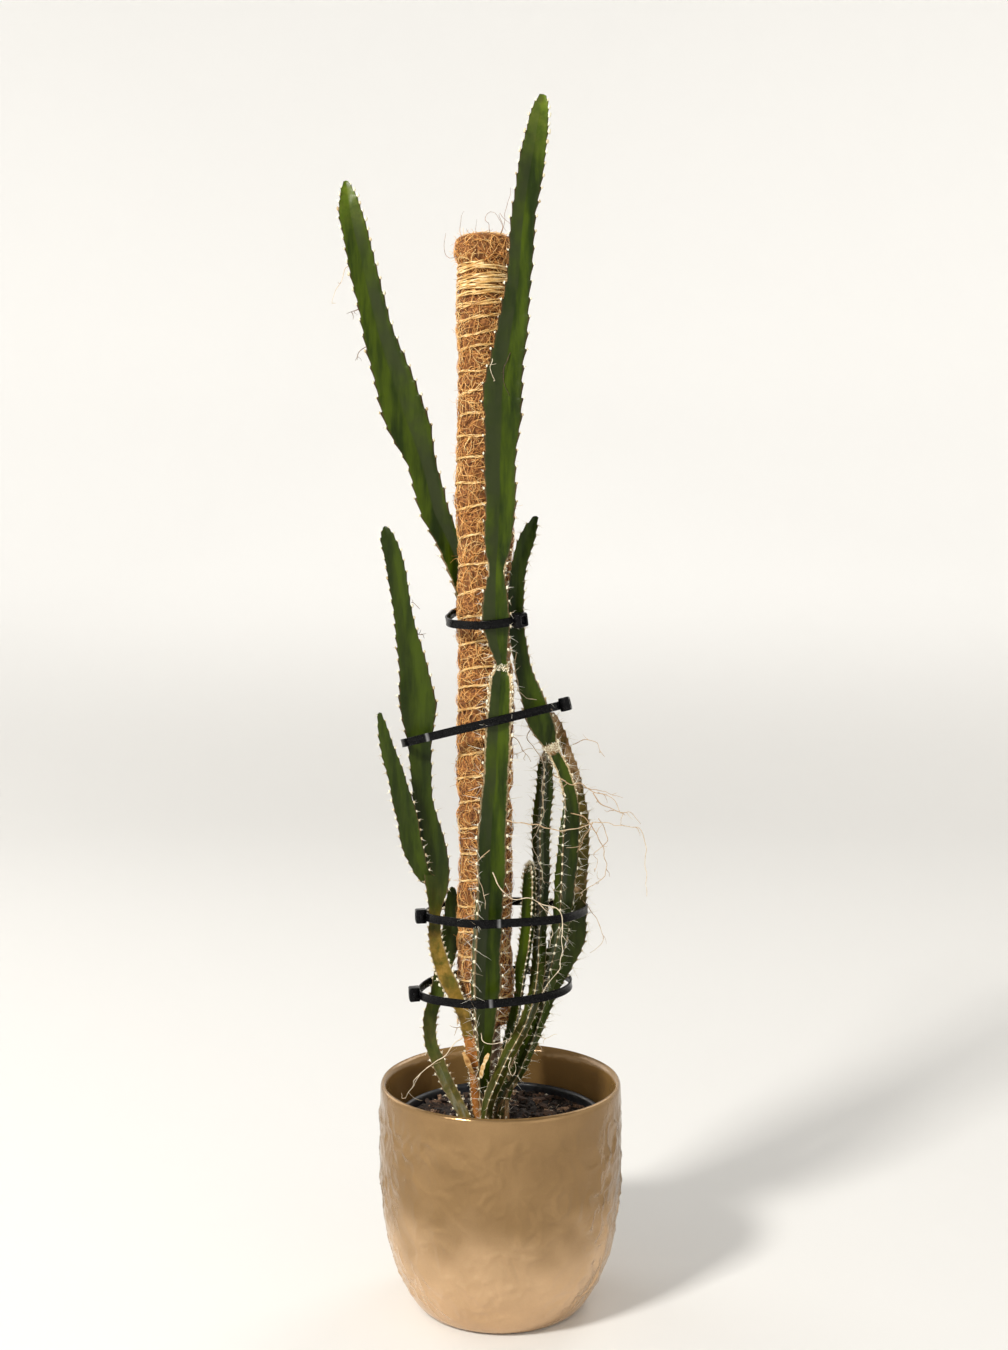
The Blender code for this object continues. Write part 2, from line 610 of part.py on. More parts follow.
def tie_plane(middle, rise, dip):
    """Axes of a tie's plane: u to the right and rising, v to the back, and the normal."""
    u = Vector((math.cos(math.radians(rise)), 0, math.sin(math.radians(rise))))
    v = Vector((0, math.cos(math.radians(dip)), math.sin(math.radians(dip))))
    v = (v - u * v.dot(u)).normalized()
    return u, v, u.cross(v), Vector(middle)


def tie_outline(plane, half_width, half_depth, head, past_end, neighbours):
    """The taut loop round everything that a tie holds, in its plane.

    It is the convex outline of an oval, the head and all points of the neighbours in the strap's
    band, read at even angles and kept a little clear of them.
    """
    u, v, normal, centre = plane
    inside = [(half_width * math.cos(a), half_depth * math.sin(a))
              for a in [2 * math.pi * i / 32 for i in range(32)]]
    inside.append(head)
    band = STRAP_WIDE / 2 + GAP
    for thing in neighbours:
        for edge in thing.data.edges:
            a, b = (thing.data.vertices[i].co / MM - centre for i in edge.vertices)
            if a.dot(normal) > b.dot(normal):
                a, b = b, a
            below, above = a.dot(normal), b.dot(normal)
            if above < -band or below > band:
                continue
            rise = max(above - below, 1e-6)
            for share in (max(0.0, (-band - below) / rise), min(1.0, (band - below) / rise)):
                place = a.lerp(b, share)
                if abs(place.dot(u)) < half_width + past_end:
                    inside.append((place.dot(u), place.dot(v)))
    hull = [Vector(inside[i]) for i in convex_hull_2d([Vector(p) for p in inside])]
    step = 2 * math.pi / TIE_POINTS
    reaches = []
    for i in range(TIE_POINTS):
        ray = Vector((math.cos(i * step), math.sin(i * step)))
        reach = 0.0
        for a, b in zip(hull, hull[1:] + hull[:1]):
            edge = b - a
            cross = ray.x * edge.y - ray.y * edge.x
            if abs(cross) < 1e-9:
                continue
            distance = (a.x * edge.y - a.y * edge.x) / cross
            share = (a.x * ray.y - a.y * ray.x) / cross
            if distance > 0 and -1e-6 <= share <= 1 + 1e-6:
                reach = max(reach, distance)
        for corner in hull:
            if corner.normalized().dot(ray) > math.cos(step):
                reach = max(reach, corner.length)
        reaches.append(reach + GAP / 2)
    for _ in range(2):
        reaches = [max(r, (reaches[i - 1] + r + reaches[(i + 1) % TIE_POINTS]) / 3)
                   for i, r in enumerate(reaches)]
    return [(r * math.cos(i * step), r * math.sin(i * step)) for i, r in enumerate(reaches)]


def box_solid(name, centre, axes, size):
    """A box with its sides along three given axes."""
    points = []
    for sx in (-0.5, 0.5):
        for sy in (-0.5, 0.5):
            for sz in (-0.5, 0.5):
                points.append(tuple(centre + axes[0] * (size[0] * sx) + axes[1] * (size[1] * sy)
                                    + axes[2] * (size[2] * sz)))
    faces = [(0, 1, 3, 2), (4, 6, 7, 5), (0, 4, 5, 1), (2, 3, 7, 6), (0, 2, 6, 4), (1, 5, 7, 3)]
    thing = new_object(name, points, faces)
    face_outwards(thing)
    return thing


def cable_tie(name, material, neighbours):
    """A cable tie: its strap in a loop, the head, and the cut end of the strap behind it."""
    middle, half_width, half_depth, rise, dip, head, past_end = TIES[name]
    plane = tie_plane(middle, rise, dip)
    u, v, normal, centre = plane
    loop = tie_outline(plane, half_width, half_depth, head, past_end, neighbours)
    points = []
    for x, y in loop:
        out = Vector((x, y)).normalized()
        for thick, up in ((0.0, -0.5), (STRAP_THICK, -0.5), (STRAP_THICK, 0.5), (0.0, 0.5)):
            place = Vector((x, y)) + out * thick
            points.append(tuple(centre + u * place.x + v * place.y + normal * (up * STRAP_WIDE)))
    strap = new_object(name, points, ring_faces(len(loop), 4, closed_rows=True), material)
    face_outwards(strap)
    nearest = max(range(TIE_POINTS), key=lambda i: Vector(loop[i]).normalized().dot(Vector(head)))
    ahead = Vector(loop[(nearest + 1) % TIE_POINTS])
    across = (u * ahead.x + v * ahead.y
              - u * loop[nearest - 1][0] - v * loop[nearest - 1][1]).normalized()
    outward = across.cross(normal)
    seat = centre + u * loop[nearest][0] + v * loop[nearest][1]
    block = seat + outward * (HEAD_SIZE[0] / 2 + HEAD_LIFT)
    extras = [box_solid("head", block, (outward, across, normal), HEAD_SIZE)]
    tail = block + across * (HEAD_SIZE[1] / 2 + 0.4)
    extras.append(box_solid("tail", tail, (outward, across, normal), TAIL_SIZE))
    join_to(strap, extras)
    smooth_shading(strap, 35)
    return strap


def level(_):
    """No turn of the section: one rib faces back."""
    return 0.0


def front_roll(height):
    """The front stem turns in its lower half, so that one rib faces front left."""
    return 40.0 * min(1.0, max(0.0, (300.0 - height) / 60.0))


def old_roll(height):
    """The old stems on the right twist slowly."""
    return 60.0 + 0.12 * (height - 160.0)


clear_scene()
green = finish_material("stem_green", (0.10, 0.20, 0.035), 0.45)
old_green = finish_material("stem_old", (0.16, 0.19, 0.06), 0.6)
gold = finish_material("pot_gold", (0.48, 0.31, 0.15), 0.38, 0.75)
black_plastic = finish_material("nursery_plastic", (0.02, 0.02, 0.022), 0.45)
earth = finish_material("soil", (0.05, 0.03, 0.02), 0.95)
wood = finish_material("stake_wood", (0.36, 0.22, 0.11), 0.75)
coir = finish_material("coir", (0.42, 0.21, 0.08), 0.95)
cord = finish_material("twine", (0.66, 0.44, 0.2), 0.85)
nylon = finish_material("tie_nylon", (0.01, 0.01, 0.01), 0.3)

cover_pot(gold)
nursery_pot(black_plastic)
stake(wood)
coir_sleeve(coir)
twine(cord)

stems = [
    grow_stem("stem_front", [
        (FRONT_STEM, 6.8, front_roll, 25.0, 6, 4.0, 0.78)], FRONT_ROOTS, green),
    grow_stem("stem_back", [
        (BACK_STEM, 7.0, level, 25.0, 6, 3.5, 0.85)], BACK_ROOTS, green),
    grow_stem("stem_bow", [
        (BOW_STEM, 6.6, level, 15.0, 5, 3.5, 0.85)], [], green),
    grow_stem("stem_left", [
        (LEFT_STEM, 6.6, level, 60.0, 5, 3.5, 0.85), (LEFT_BRANCH, 6.4, level, 0, 5, 4.0, 0.9)],
        LEFT_ROOTS, green),
    grow_stem("stem_right", [
        (RIGHT_STEM, 6.6, old_roll, 20.0, 4, 5.5, 0.9), (RIGHT_BRANCH, 6.6, old_roll, 0, 5, 4.5, 0.9)],
        RIGHT_ROOTS, old_green),
    grow_stem("stem_right_inner", [
        (INNER_STEM, 6.6, old_roll, 20.0, 4, 6.0, 0.9)], [], old_green),
    grow_stem("stem_right_small", [
        (SMALL_STEM, 6.4, level, 30.0, 5, 3.5, 0.9)], [], green)]

feet = []
for route in (FRONT_STEM, BACK_STEM, BOW_STEM, LEFT_STEM, RIGHT_STEM, INNER_STEM, SMALL_STEM):
    x, y, _, radius = route[0]
    feet.append((x, y, radius + GAP + 0.3))
soil_block(earth, feet)

for tie_name in TIES:
    cable_tie(tie_name, nylon, stems)
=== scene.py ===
# %% [markdown]
# # A climbing dragon fruit cactus in a gold cover pot
# The solid model gives the place and size of every piece. This script dresses it: each piece is a
# surface worked out with numpy arrays, put into a mesh in one go, and finished with a node material.
# All lengths below are millimetres until a mesh is made. +Z is up and the front is towards -Y.

# %% Load the solid model
import math

import bpy
import numpy as np
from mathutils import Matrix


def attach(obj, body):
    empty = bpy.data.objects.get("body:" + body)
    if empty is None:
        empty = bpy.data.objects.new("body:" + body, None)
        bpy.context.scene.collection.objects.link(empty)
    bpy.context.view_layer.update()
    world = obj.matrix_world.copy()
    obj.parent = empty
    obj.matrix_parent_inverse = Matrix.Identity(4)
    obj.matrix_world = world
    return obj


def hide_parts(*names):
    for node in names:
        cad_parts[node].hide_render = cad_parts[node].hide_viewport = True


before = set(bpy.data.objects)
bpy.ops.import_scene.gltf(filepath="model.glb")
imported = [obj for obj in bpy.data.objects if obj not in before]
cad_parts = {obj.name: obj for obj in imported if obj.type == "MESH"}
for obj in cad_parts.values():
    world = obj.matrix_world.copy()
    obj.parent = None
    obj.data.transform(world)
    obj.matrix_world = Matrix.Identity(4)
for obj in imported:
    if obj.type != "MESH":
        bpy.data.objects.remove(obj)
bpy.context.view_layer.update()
MM = 0.001
print("solid pieces:", sorted(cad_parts))

# %% [markdown]
# ## Where the viewer stands
# The camera stands 92 cm in front of the pole, a little above half its height, and looks slightly
# down, so the mouth of the pot shows as an ellipse and the stems stay almost upright.

# %% The camera
CAMERA_PLACE = (0.002, -0.920, 0.435)
CAMERA_TILT = 85.88
CAMERA_LENS = 42.72
camera_data = bpy.data.cameras.new("camera")
camera_data.lens = CAMERA_LENS
camera = bpy.data.objects.new("camera", camera_data)
camera.location = CAMERA_PLACE
camera.rotation_euler = (math.radians(CAMERA_TILT), 0, 0)
bpy.context.scene.collection.objects.link(camera)
bpy.context.scene.camera = camera

# %% [markdown]
# ## Meshes from arrays
# A mesh is only a list of points and a list of faces. numpy makes both as whole arrays, and
# foreach_set copies them into Blender without a loop. Most pieces here are a grid of points: rows
# along the piece, columns round it. The grid's faces are always the same four neighbours, and a
# small fan of triangles closes each end, so every piece has an inside and an outside.


# %% Helpers for grids
def grid_faces(rows, columns, closed=False):
    """Quads between each ring of points and the next; closed joins the last ring to the first."""
    row = np.arange(rows if closed else rows - 1)[:, None]
    column = np.arange(columns)[None, :]
    after = (row + 1) % rows
    beside = (column + 1) % columns
    corners = (row * columns + column, row * columns + beside, after * columns + beside,
               after * columns + column)
    return np.stack([np.broadcast_to(c, (len(row), columns)) for c in corners], axis=-1).reshape(-1, 4)


def capped_grid(rings, first_pole=None, last_pole=None):
    """Points and faces of rings (rows, columns, 3) with a fan of triangles from a pole to each end.

    A pole that isn't given is the middle of the ring at its end.
    """
    rows, columns, _ = rings.shape
    first_pole = rings[0].mean(axis=0) if first_pole is None else first_pole
    last_pole = rings[-1].mean(axis=0) if last_pole is None else last_pole
    points = np.concatenate([rings.reshape(-1, 3), [first_pole], [last_pole]])
    i = np.arange(columns)
    j = (i + 1) % columns
    top = (rows - 1) * columns
    first_fan = np.stack([np.full(columns, rows * columns), j, i], axis=1)
    last_fan = np.stack([np.full(columns, rows * columns + 1), top + i, top + j], axis=1)
    return points, [grid_faces(rows, columns), first_fan, last_fan]


def add_piece(name, chunks, finish, slot, replaced=(), smooth=True):
    """One mesh object from chunks of (points in mm, list of face arrays, {attribute: values})."""
    points, loops, sizes, start = [], [], [], 0
    layers = {}
    for chunk_points, chunk_faces, chunk_layers in chunks:
        points.append(chunk_points)
        for faces in chunk_faces:
            loops.append((faces + start).ravel())
            sizes.append(np.full(len(faces), faces.shape[1]))
        for layer, values in chunk_layers.items():
            layers.setdefault(layer, []).append(np.broadcast_to(values, len(chunk_points)))
        start += len(chunk_points)
    points, loops, sizes = (np.concatenate(part) for part in (points, loops, sizes))
    mesh = bpy.data.meshes.new(name)
    mesh.vertices.add(len(points))
    mesh.vertices.foreach_set("co", (points * MM).astype(np.float32).ravel())
    mesh.loops.add(len(loops))
    mesh.loops.foreach_set("vertex_index", loops.astype(np.int32))
    mesh.polygons.add(len(sizes))
    mesh.polygons.foreach_set("loop_start", (np.cumsum(sizes) - sizes).astype(np.int32))
    mesh.update(calc_edges=True)
    for layer, values in layers.items():
        data = mesh.attributes.new(layer, "FLOAT", "POINT").data
        data.foreach_set("value", np.concatenate(values).astype(np.float32))
    mesh.polygons.foreach_set("use_smooth", np.full(len(sizes), smooth))
    mesh.materials.append(finish)
    thing = bpy.data.objects.new(name, mesh)
    bpy.context.scene.collection.objects.link(thing)
    if slot:
        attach(thing, "root")
    if replaced:
        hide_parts(*replaced)
    print(name, "triangles:", int((sizes - 2).sum()))
    return thing


WAVE_COUNT = 9


def waves(points, size, seed):
    """Smooth random swell, about -1 to 1: sine waves in random directions, size mm from hill to hill."""
    draw = np.random.default_rng(seed)
    directions = draw.normal(size=(WAVE_COUNT, 3))
    directions /= np.linalg.norm(directions, axis=1)[:, None]
    turns = draw.uniform(0, 2 * np.pi, WAVE_COUNT)
    spread = draw.uniform(0.7, 1.4, WAVE_COUNT)
    phase = (points @ directions.T) * (2 * np.pi / size) * spread + turns
    return np.sin(phase).sum(axis=-1) / math.sqrt(WAVE_COUNT)


def fade_in(values, low, high):
    """0 below low, 1 above high, and a smooth S between."""
    share = np.clip((np.asarray(values, float) - low) / (high - low), 0, 1)
    return share * share * (3 - 2 * share)


# %% [markdown]
# ## Materials from nodes
# Every finish starts as a Principled shader. Noise textures on object coordinates vary its colour
# and its roughness, and a bump node gives it grain. These few helpers keep the node code short.


# %% Helpers for materials
def new_finish(name, roughness, **sockets):
    """A material with one Principled shader, and its constant sockets set by name."""
    finish = bpy.data.materials.new(name)
    finish.use_nodes = True
    shader = finish.node_tree.nodes["Principled BSDF"]
    shader.inputs["Roughness"].default_value = roughness
    for socket, value in sockets.items():
        shader.inputs[socket.replace("_", " ")].default_value = value
    return finish


def add_node(finish, kind, links=None, **settings):
    """Adds a node, sets its properties or inputs, and links sockets {input: output or value}."""
    node = finish.node_tree.nodes.new(kind)
    for setting, value in settings.items():
        setattr(node, setting, value)
    for socket, source in (links or {}).items():
        if isinstance(source, bpy.types.NodeSocket):
            finish.node_tree.links.new(source, node.inputs[socket])
        else:
            node.inputs[socket].default_value = source
    return node


def to_shader(finish, socket, source):
    """Links an output to a socket of the finish's shader."""
    shader = finish.node_tree.nodes["Principled BSDF"]
    finish.node_tree.links.new(source, shader.inputs[socket])


def place(finish, stretch=(1, 1, 1)):
    """Object coordinates in metres, stretched per axis."""
    where = add_node(finish, "ShaderNodeTexCoord").outputs["Object"]
    return add_node(finish, "ShaderNodeMapping", {"Vector": where, "Scale": stretch}).outputs["Vector"]


def height_of(finish):
    """The height of a point above the table, in metres."""
    return add_node(finish, "ShaderNodeSeparateXYZ", {"Vector": place(finish)}).outputs["Z"]


def layer_of(finish, name):
    """A number that the mesh carries at each point."""
    return add_node(finish, "ShaderNodeAttribute", attribute_name=name).outputs["Fac"]


def noise(finish, size, detail=3.0, rough=0.55, where=None):
    """Cloudy noise whose patches are about size millimetres across."""
    links = {"Vector": where or place(finish), "Scale": 1 / (size * MM), "Detail": detail, "Roughness": rough}
    return add_node(finish, "ShaderNodeTexNoise", links).outputs["Fac"]


def ramp(finish, source, *stops):
    """A colour ramp: stops are (position, (red, green, blue))."""
    node = add_node(finish, "ShaderNodeValToRGB", {"Fac": source})
    elements = node.color_ramp.elements
    while len(elements) < len(stops):
        elements.new(0.5)
    for element, (position, colour) in zip(elements, stops):
        element.position = position
        element.color = (*colour, 1)
    return node.outputs["Color"]


def blend(finish, share, first, second, kind="MIX"):
    """Mixes two colours; a colour is a socket or (red, green, blue)."""
    node = add_node(finish, "ShaderNodeMix", data_type="RGBA", blend_type=kind)
    for socket, source in ((node.inputs[0], share), (node.inputs[6], first), (node.inputs[7], second)):
        if isinstance(source, bpy.types.NodeSocket):
            finish.node_tree.links.new(source, socket)
        else:
            socket.default_value = (*source, 1) if isinstance(source, tuple) else source
    return node.outputs[2]


def reckon(finish, kind, first, second):
    """One sum on two numbers: kind is ADD, MULTIPLY, SUBTRACT, MAXIMUM and so on."""
    return add_node(finish, "ShaderNodeMath", {0: first, 1: second}, operation=kind).outputs[0]


def spread_between(finish, source, low, high, to_low=0.0, to_high=1.0):
    """Maps the range low to high onto another range, with a smooth S."""
    links = {"Value": source, "From Min": low, "From Max": high, "To Min": to_low, "To Max": to_high}
    return add_node(finish, "ShaderNodeMapRange", links, interpolation_type="SMOOTHSTEP").outputs["Result"]


def swing(finish, source, amount):
    """A noise of 0 to 1 turned into a swing about zero, amount wide."""
    return reckon(finish, "MULTIPLY", reckon(finish, "SUBTRACT", source, 0.5), amount)


def bump(finish, height, depth, under=None):
    """A bump of the given depth in millimetres, on top of another bump if one is given."""
    links = {"Height": height, "Distance": depth * MM, "Strength": 1.0}
    if under:
        links["Normal"] = under
    normal = add_node(finish, "ShaderNodeBump", links).outputs["Normal"]
    to_shader(finish, "Normal", normal)
    return normal


def grained_finish(name, roughness, grain, stops, depth, stretch=(1, 1, 1)):
    """A finish whose colour and relief share one noise, given as (size, detail, roughness)."""
    finish = new_finish(name, roughness)
    tone = noise(finish, *grain, place(finish, stretch))
    to_shader(finish, "Base Color", ramp(finish, tone, *stops))
    bump(finish, tone, depth)
    return finish, tone


# %% [markdown]
# ## Floor and light
# The floor is one pale bowl: flat under the pot, then curving up into a wall on every side, so there
# is no edge behind the object from any angle. The strongest lamp stands high at the front left, as
# the sun does in a bright room, and weaker ones fill the shadows.

# %% The floor bowl
BOWL_PROFILE = [(0.2, 0), (800, 0), (1500, 0), (1900, 60), (2250, 260), (2480, 620), (2560, 1100),
                (2580, 2600)]
BOWL_COLUMNS = 96


def turn_round(profile, columns, centre=(0.0, 0.0)):
    """Rings of points: each (radius, height) of the profile turned round the upright axis at centre."""
    profile = np.asarray(profile, float)
    angle = np.arange(columns) * (2 * np.pi / columns)
    x = centre[0] + profile[:, :1] * np.cos(angle)
    y = centre[1] + profile[:, :1] * np.sin(angle)
    return np.stack([x, y, np.broadcast_to(profile[:, 1:2], x.shape)], axis=-1)


def curve_at(stations, positions):
    """The smooth curve through the stations (Catmull-Rom); positions count stations from 0."""
    stations = np.asarray(stations, float)
    last = len(stations) - 1
    index = np.minimum(positions.astype(int), last - 1)
    t = (positions - index)[:, None]
    a = stations[np.maximum(index - 1, 0)]
    b = stations[index]
    c = stations[index + 1]
    d = stations[np.minimum(index + 2, last)]
    square = (2 * a - 5 * b + 4 * c - d) * t ** 2
    cube = (3 * b - a - 3 * c + d) * t ** 3
    return 0.5 * (2 * b + (c - a) * t + square + cube)


def walk_along(stations, step):
    """Positions on the curve that lie about step mm apart, and the length walked to each."""
    fine = np.linspace(0, len(stations) - 1, 24 * (len(stations) - 1) + 1)
    points = curve_at(stations, fine)[:, :3]
    walked = np.concatenate([[0], np.cumsum(np.linalg.norm(np.diff(points, axis=0), axis=1))])
    lengths = np.linspace(0, walked[-1], max(2, round(walked[-1] / step)) + 1)
    return np.interp(lengths, walked, fine), lengths


def smooth_line(points, step):
    """Points step mm apart on the smooth curve through the given points, of any dimension."""
    positions, _ = walk_along(points, step)
    return curve_at(points, positions)


WALL_GLOW = 0.25
floor_finish = new_finish("pale_floor", 0.9, Base_Color=(0.74, 0.735, 0.72, 1), Specular_IOR_Level=0.2,
                          Emission_Color=(1.0, 0.985, 0.96, 1))
floor_finish.cycles.emission_sampling = "NONE"
to_shader(floor_finish, "Emission Strength",
          spread_between(floor_finish, height_of(floor_finish), 0.0, 0.42, 0.0, WALL_GLOW))
bowl_rings = turn_round(smooth_line(BOWL_PROFILE, 60), BOWL_COLUMNS)
bowl_faces = grid_faces(len(bowl_rings), BOWL_COLUMNS)[:, ::-1]
floor = add_piece("floor", [(bowl_rings.reshape(-1, 3), [bowl_faces], {})], floor_finish, None)

# %% The lamps
LAMPS = {
    "key": ((-1.20, -1.30, 1.75), 0.34, 54.0, (1.0, 0.97, 0.92)),
    "front_fill": ((1.30, -1.50, 0.90), 1.20, 2.0, (1.0, 0.98, 0.95)),
    "back_rim": ((0.90, 1.20, 1.50), 0.80, 8.0, (1.0, 0.98, 0.95)),
    "back_fill": ((-1.30, 1.10, 1.10), 1.10, 8.0, (1.0, 0.98, 0.95)),
}
LAMP_AIM = (0.0, 0.0, 0.33)
SKY_LIGHT = 0.20


def add_lamp(name, position, width, power, colour):
    """A square area lamp that faces the middle of the plant."""
    data = bpy.data.lights.new(name, "AREA")
    data.size = width
    data.energy = power
    data.color = colour
    lamp = bpy.data.objects.new(name, data)
    lamp.location = position
    aim = np.array(LAMP_AIM) - np.array(position)
    lamp.rotation_euler = (math.atan2(math.hypot(aim[0], aim[1]), -aim[2]), 0, math.atan2(-aim[0], aim[1]))
    bpy.context.scene.collection.objects.link(lamp)


for lamp_name, lamp_values in LAMPS.items():
    add_lamp(lamp_name, *lamp_values)
world = bpy.data.worlds.new("studio")
bpy.context.scene.world = world
world.use_nodes = True
world.node_tree.nodes["Background"].inputs["Color"].default_value = (1.0, 0.98, 0.95, 1)
world.node_tree.nodes["Background"].inputs["Strength"].default_value = SKY_LIGHT
bpy.context.scene.view_settings.view_transform = "Standard"
print("lamps:", len(LAMPS))

# %% [markdown]
# ## The cover pot
# A thrown pot, pressed all round with a small round tool while soft and then given a gold lustre.
# The profile is turned round the axis. The dents are a formula: each point looks for the nearest tool
# mark, with a soft minimum, so the low ridges between two marks stay rounded. Between the marks the
# clay has pushed up into short crooked wrinkles, which catch the light.

# %% Cover pot: profile and tool marks
POT_FLOOR = 7.6
POT_OUTSIDE = [(44.5, 0), (48.5, 1), (52.2, 5), (56.4, 12), (61.4, 23), (65.6, 36), (68.2, 50), (69.9, 66),
               (70.8, 84), (70.6, 106), (70.4, 125), (70.2, 129.2), (69.5, 130.9)]
POT_INSIDE = [(68.4, 131.5), (67.3, 131.0), (66.7, 129.2), (66.3, 124), (65.9, 104), (65.6, 84), (62.8, 50),
              (56.6, 26), (49.6, 13), (43, 8.2), (30, POT_FLOOR), (12, POT_FLOOR), (1, POT_FLOOR)]
POT_COLUMNS = 350
POT_REACH = 70.0
DENT_SPACING = 12.5
DENT_DEPTH = 0.62
DENT_SOFTNESS = 0.075
WRINKLE_DEPTH = 1.05
BATCH = 4000


def tool_marks(draw):
    """Centres of the marks on the unrolled wall, as (distance round, height), jittered rows."""
    per_row = round(2 * np.pi * POT_REACH / DENT_SPACING)
    heights = np.arange(6, 126, DENT_SPACING * 0.82)
    row, column = np.meshgrid(np.arange(len(heights)), np.arange(per_row), indexing="ij")
    around = (column + 0.5 * (row % 2)) * DENT_SPACING + draw.uniform(-3.6, 3.6, row.shape)
    height = heights[row] + draw.uniform(-3.2, 3.2, row.shape)
    return np.stack([around.ravel(), height.ravel()], axis=1)


def dent_depth(around, height, marks):
    """How far the wall is pressed in: a paraboloid round the nearest mark, by a soft minimum."""
    length = 2 * np.pi * POT_REACH
    flat = np.stack([around.ravel(), height.ravel()], axis=1)
    depth = np.zeros(len(flat))
    for start in range(0, len(flat), BATCH):
        part = flat[start:start + BATCH]
        across = np.abs(part[:, None, 0] - marks[None, :, 0]) % length
        across = np.minimum(across, length - across)
        nearest = across ** 2 + (part[:, None, 1] - marks[None, :, 1]) ** 2
        soft = -np.log(np.exp(-DENT_SOFTNESS * nearest).sum(axis=1) + 1e-9) / DENT_SOFTNESS
        depth[start:start + BATCH] = np.clip(1 - soft / (DENT_SPACING * 0.62) ** 2, -0.6, 1)
    return depth.reshape(around.shape)


def wrinkles(rings):
    """Crooked wrinkles, 0 to 1: a rounded crest runs wherever a warped random swell passes zero."""
    warp = np.stack([waves(rings, 21, seed) for seed in (11, 12, 13)], axis=-1)
    warped = rings * (1, 1, 0.75) + 2.4 * warp
    wide = np.exp(-(waves(warped, 17, 14) / 0.42) ** 2)
    fine = np.exp(-(waves(warped, 10, 15) / 0.45) ** 2)
    return 0.62 * wide + 0.38 * fine


def pot_wall():
    """The pot's rings, from the foot up the outside, over the lip and down, and which are inside."""
    outside = smooth_line(POT_OUTSIDE, 1.2)
    inside = smooth_line(POT_INSIDE, 5.0)
    profile = np.concatenate([outside, inside])
    rings = turn_round(profile, POT_COLUMNS)
    angle = np.broadcast_to(np.arange(POT_COLUMNS) * (2 * np.pi / POT_COLUMNS), rings.shape[:2])
    height = rings[..., 2]
    dents = dent_depth(angle * POT_REACH, height, tool_marks(np.random.default_rng(5)))
    reach = fade_in(height, 3, 16) * (1 - fade_in(height, 112, 128))
    reach[len(outside):] = 0
    uneven = np.clip(0.8 + 0.4 * waves(rings, 46, 8), 0.25, 1.5)
    swell = 0.22 * waves(rings, 34, 9) * fade_in(height, 2, 12) * (1 - 0.7 * fade_in(height, 120, 131))
    swell[len(outside):] *= 0.4
    change = swell + (WRINKLE_DEPTH * wrinkles(rings) - DENT_DEPTH * dents) * reach * uneven
    rings[..., 0] += np.cos(angle) * change
    rings[..., 1] += np.sin(angle) * change
    inner = (np.arange(len(profile)) >= len(outside)) * 1.0
    return rings, np.append(np.repeat(inner, POT_COLUMNS), [0.0, 1.0])


# %% Cover pot: gold lustre
def gold_lustre():
    """Satin bronze gold, cloudy, with a fine speckle in the roughness; paler towards the foot as a painted
    reflection of the pale floor.
    """
    finish = new_finish("gold_lustre", 0.22, Specular_IOR_Level=0.4)
    inner = layer_of(finish, "inner")
    to_shader(finish, "Metallic", spread_between(finish, inner, 0.0, 1.0, 0.62, 0.2))
    clouds = noise(finish, 30, 3)
    # Painted reflection: a darker gold above and a paler gold at the foot, split at a wavy line near the
    # foot, stand for a dark room and the pale floor mirrored in the lustre.
    upper = ramp(finish, clouds, (0.3, (0.258, 0.156, 0.067)), (0.52, (0.286, 0.174, 0.076)),
                 (0.75, (0.325, 0.201, 0.091)))
    floor_reflection_gold = ramp(finish, clouds, (0.3, (0.58, 0.385, 0.215)), (0.75, (0.68, 0.460, 0.265)))
    level = reckon(finish, "ADD", height_of(finish), swing(finish, noise(finish, 26, 1), 0.04))
    colour = blend(finish, spread_between(finish, level, 0.028, 0.080), floor_reflection_gold, upper)
    colour = blend(finish, inner, colour, (0.27, 0.155, 0.052))
    speckle = noise(finish, 0.7, 2)
    grain = ramp(finish, speckle, (0.35, (0.62, 0.62, 0.62)), (0.7, (1, 1, 1)))
    to_shader(finish, "Base Color", blend(finish, 0.16, colour, grain, "MULTIPLY"))
    to_shader(finish, "Roughness", spread_between(finish, noise(finish, 12, 3), 0.3, 0.7, 0.15, 0.22))
    under = bump(finish, noise(finish, 6.5, 2), 0.34)
    bump(finish, speckle, 0.006, under)
    return finish


pot_rings, pot_inner = pot_wall()
pot_points, pot_faces = capped_grid(pot_rings, (0, 0, 0), (0, 0, POT_FLOOR))
pot_body = (pot_points, pot_faces, {"inner": pot_inner})
add_piece("cover_pot_lustre", [pot_body], gold_lustre(), "cover_pot", ("cover_pot",))

# %% [markdown]
# ## The nursery pot
# The thin black plastic pot that the plant was sold in. Only its rim shows, as a dark ring round the
# soil. It is a thin turned wall with a rolled lip.

# %% Nursery pot
NURSERY_BOTTOM = 7.95
NURSERY_FLOOR = 8.95
NURSERY_TOP = 110.0
NURSERY_PROFILE = [
    (40.5, NURSERY_BOTTOM), (43.0, 8.6), (49, 46), (55.5, 90), (58.6, 105.8), (60.3, 106.2), (60.5, 107.2),
    (60.5, 109.2), (60.2, NURSERY_TOP), (59.4, NURSERY_TOP), (58.3, 109.2), (57.9, 107.6), (57.5, 104.5),
    (54.6, 90), (48.2, 46), (41.9, 9.6), (39, NURSERY_FLOOR)]
NURSERY_COLUMNS = 150


def nursery_radius(height):
    """Outer radius of the nursery pot's wall."""
    return 43 + 16 * (height - NURSERY_BOTTOM) / (NURSERY_TOP - NURSERY_BOTTOM)


